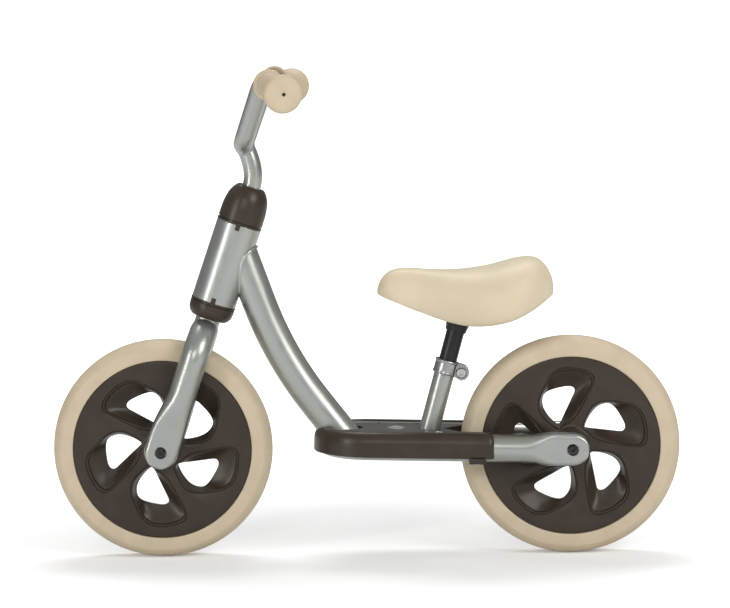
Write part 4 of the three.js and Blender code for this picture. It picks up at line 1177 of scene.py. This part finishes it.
def screw_tab(side):
    """A tab under the board's rear that takes a screw from below."""
    x, y = TAB_MIDDLE[0], side * TAB_MIDDLE[1]
    half_x, half_y = TAB_HALF
    profile = softened([(x - half_x, y - half_y), (x + half_x, y - half_y), (x + half_x, y + half_y),
                        (x - half_x, y + half_y)], 2, closed=True)
    rings = [[Vector((p.x, p.y, z)) for p in profile] for z in (BOARD_SKIRT + 2, TAB_LOW + 0.5)]
    rings.append([Vector((mix(x, p.x, 0.96), mix(y, p.y, 0.95), TAB_LOW)) for p in profile])
    return lofted(rings)


def footboard():
    """A moulded tray over the base tube, with a sunk, grained tread; the tread's upward faces get a
    lighter grey that is painted reflection of the pale floor.
    """
    side, slot, rear = SKIN_IN
    tread_edge = board_plan(side + BORDER, slot + 1, rear + BORDER)
    seat_lean = SEAT_LEAN - BASE_LEAN
    seat_middle = SEAT_FOOT - TREAD_HEIGHT * math.tan(seat_lean)
    seat_hole = tilted_hole(seat_middle, SEAT_TUBE_RADIUS + 0.7, seat_lean)
    down_hole = tilted_hole(266, DOWN_TUBE_RADIUS + 0.8, math.radians(38))
    round_hole = arc(BOARD_HOLE, HOLE_RADIUS, 0, 352, 44)
    dimples = [arc((x, sign * y), 2.4, 0, 345, 23) for x, y in DIMPLES for sign in (1, -1)]
    holes = [seat_hole, down_hole, round_hole, *dimples]
    tread = moved(filled(tread_edge, holes), Matrix.Translation((0, 0, TREAD_HEIGHT)))
    walls = [hole_wall(hole, 4 if hole is round_hole else 3) for hole in holes]
    tabs = [screw_tab(1), screw_tab(-1)]
    made = mesh_object("footboard_moulded", joined(board_shell(), tread, *walls, *tabs), BASE)
    finished(made, "frame", BROWN, ["footboard"], crease=40)
    # The upward faces of the tread take the lighter grey skin, a painted reflection of the pale floor.
    made.data.materials.append(TREAD_PAINTED_REFLECTION)
    to_board = BASE.inverted()
    for face in made.data.polygons:
        middle = to_board @ face.center
        on_tread = TREAD_HEIGHT - 0.5 < middle.z < TREAD_HEIGHT + TREAD_SINK / 2
        if on_tread and abs(face.normal.z) > 0.9:
            face.material_index = 1


def footboard_disc():
    """The plain round cap that fills the board's hole, level with the tread."""
    top = TREAD_HEIGHT + 0.5
    dish = top - 0.3
    radius = HOLE_RADIUS - 0.3
    profile = softened([(radius, top - 3), (radius, top), (radius - 1.6, top), (radius - 2.2, dish),
                        (0.02, dish)], 0.25)
    at = BASE @ Matrix.Translation((BOARD_HOLE[0], 0, 0))
    made = mesh_object("footboard_disc_cap", turned(profile, 64), at)
    finished(made, "frame", SILVER, ["footboard_disc"])


# ---- screws


def cross_screw(name, radius, base, height, down, at, body):
    """A pan-head screw with a cross recess."""
    dome = [(radius, 0), (radius, 0.25 * height), (0.93 * radius, 0.6 * height),
            (0.75 * radius, 0.87 * height), (0.45 * radius, height), (0.02, height)]
    shape = turned(spline(dome, 3, closed=False), 40)
    arm = 0.62 * radius
    recess = [box_shape((-arm, -0.45, 0.4 * height), (arm, 0.45, 2 * height)),
              box_shape((-0.45, -arm, 0.4 * height), (0.45, arm, 2 * height))]
    turn = Matrix.Rotation(math.pi if down else 0, 4, "X")
    set_on = at @ Matrix.Translation(base) @ turn
    made = mesh_object(f"{name}_cross_head", shape, set_on)
    carve(made, *recess, matrix=set_on)
    finished(made, body, STEEL, [name])


def board_screws():
    for label, side in (("left", 1), ("right", -1)):
        top = (TOP_SCREW[0], side * TOP_SCREW[1], TREAD_HEIGHT)
        cross_screw(f"footboard_top_screw_{label}", 4.4, top, 2.6, False, BASE, "frame")
        tab = (TAB_SCREW[0], side * TAB_SCREW[1], TAB_LOW - 0.1)
        cross_screw(f"footboard_tab_screw_{label}", 4, tab, 1.8, True, BASE, "frame")


def axle_screws(prefix, leg_y, axle, body):
    """Black socket screws sunk in the pressed ends of the legs."""
    seat = leg_y + DROPOUT_HALF - RECESS_DEPTH
    head = softened([(5.6, 0.2), (5.6, 5.2), (0.02, 5.2)], 0.7)
    key = turned([(2.9, 2.2), (2.9, 9)], 6)
    for label, side in (("left", 1), ("right", -1)):
        set_on = axle @ Matrix.Rotation(0 if side > 0 else math.pi, 4, "Z") @ ACROSS
        set_on = set_on @ Matrix.Translation((0, 0, seat))
        made = mesh_object(f"{prefix}_axle_screw_{label}_socket", turned(head, 48), set_on)
        carve(made, key, matrix=set_on)
        finished(made, body, OXIDE, [f"{prefix}_axle_screw_{label}"])


# ---- what stays from the CAD

CAD_FINISH = {
    SILVER: ["front_bridge_plate", "rear_bridge_plate", "steerer_tube"],
    BROWN: ["saddle_base_plate"],
    NYLON: ["head_upper_bushing", "head_lower_bushing"],
    STEEL: ["rear_axle", "rear_axle_spacer_left", "rear_axle_spacer_right",
            "front_axle", "front_axle_spacer_left", "front_axle_spacer_right",
            "front_bearing_left", "front_bearing_right", "front_bearing_sleeve",
            "rear_bearing_left", "rear_bearing_right", "rear_bearing_sleeve",
            "fork_crown_race", "steerer_clamp", "steerer_clamp_bolt",
            "saddle_screw_left", "saddle_screw_right"],
}
CAD_BEVEL = 0.35


def cad_nodes():
    for material, names in CAD_FINISH.items():
        for name in names:
            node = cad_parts[name]
            node.data.materials.clear()
            node.data.materials.append(material)
            bevel(node, CAD_BEVEL)


# ---- the scene

camera()
floor()
studio()
base_tube()
fork()
head_tube()
down_tube()
handlebar()
seat_tube()
weld_beads()
rim("front", FRONT_WHEEL, False)
rim("rear", REAR_WHEEL, True)
tyre("front", FRONT_WHEEL)
tyre("rear", REAR_WHEEL)
head_caps()
grip("left", 1)
grip("right", -1)
seat_post()
seat_clamp()
saddle()
footboard()
footboard_disc()
board_screws()
axle_screws("front", FORK_LEG_Y, HEAD @ Matrix.Translation((FORK_RAKE, 0, -FORK_LENGTH)), "steering")
axle_screws("rear", BASE_LEG_Y, BASE, "frame")
cad_nodes()
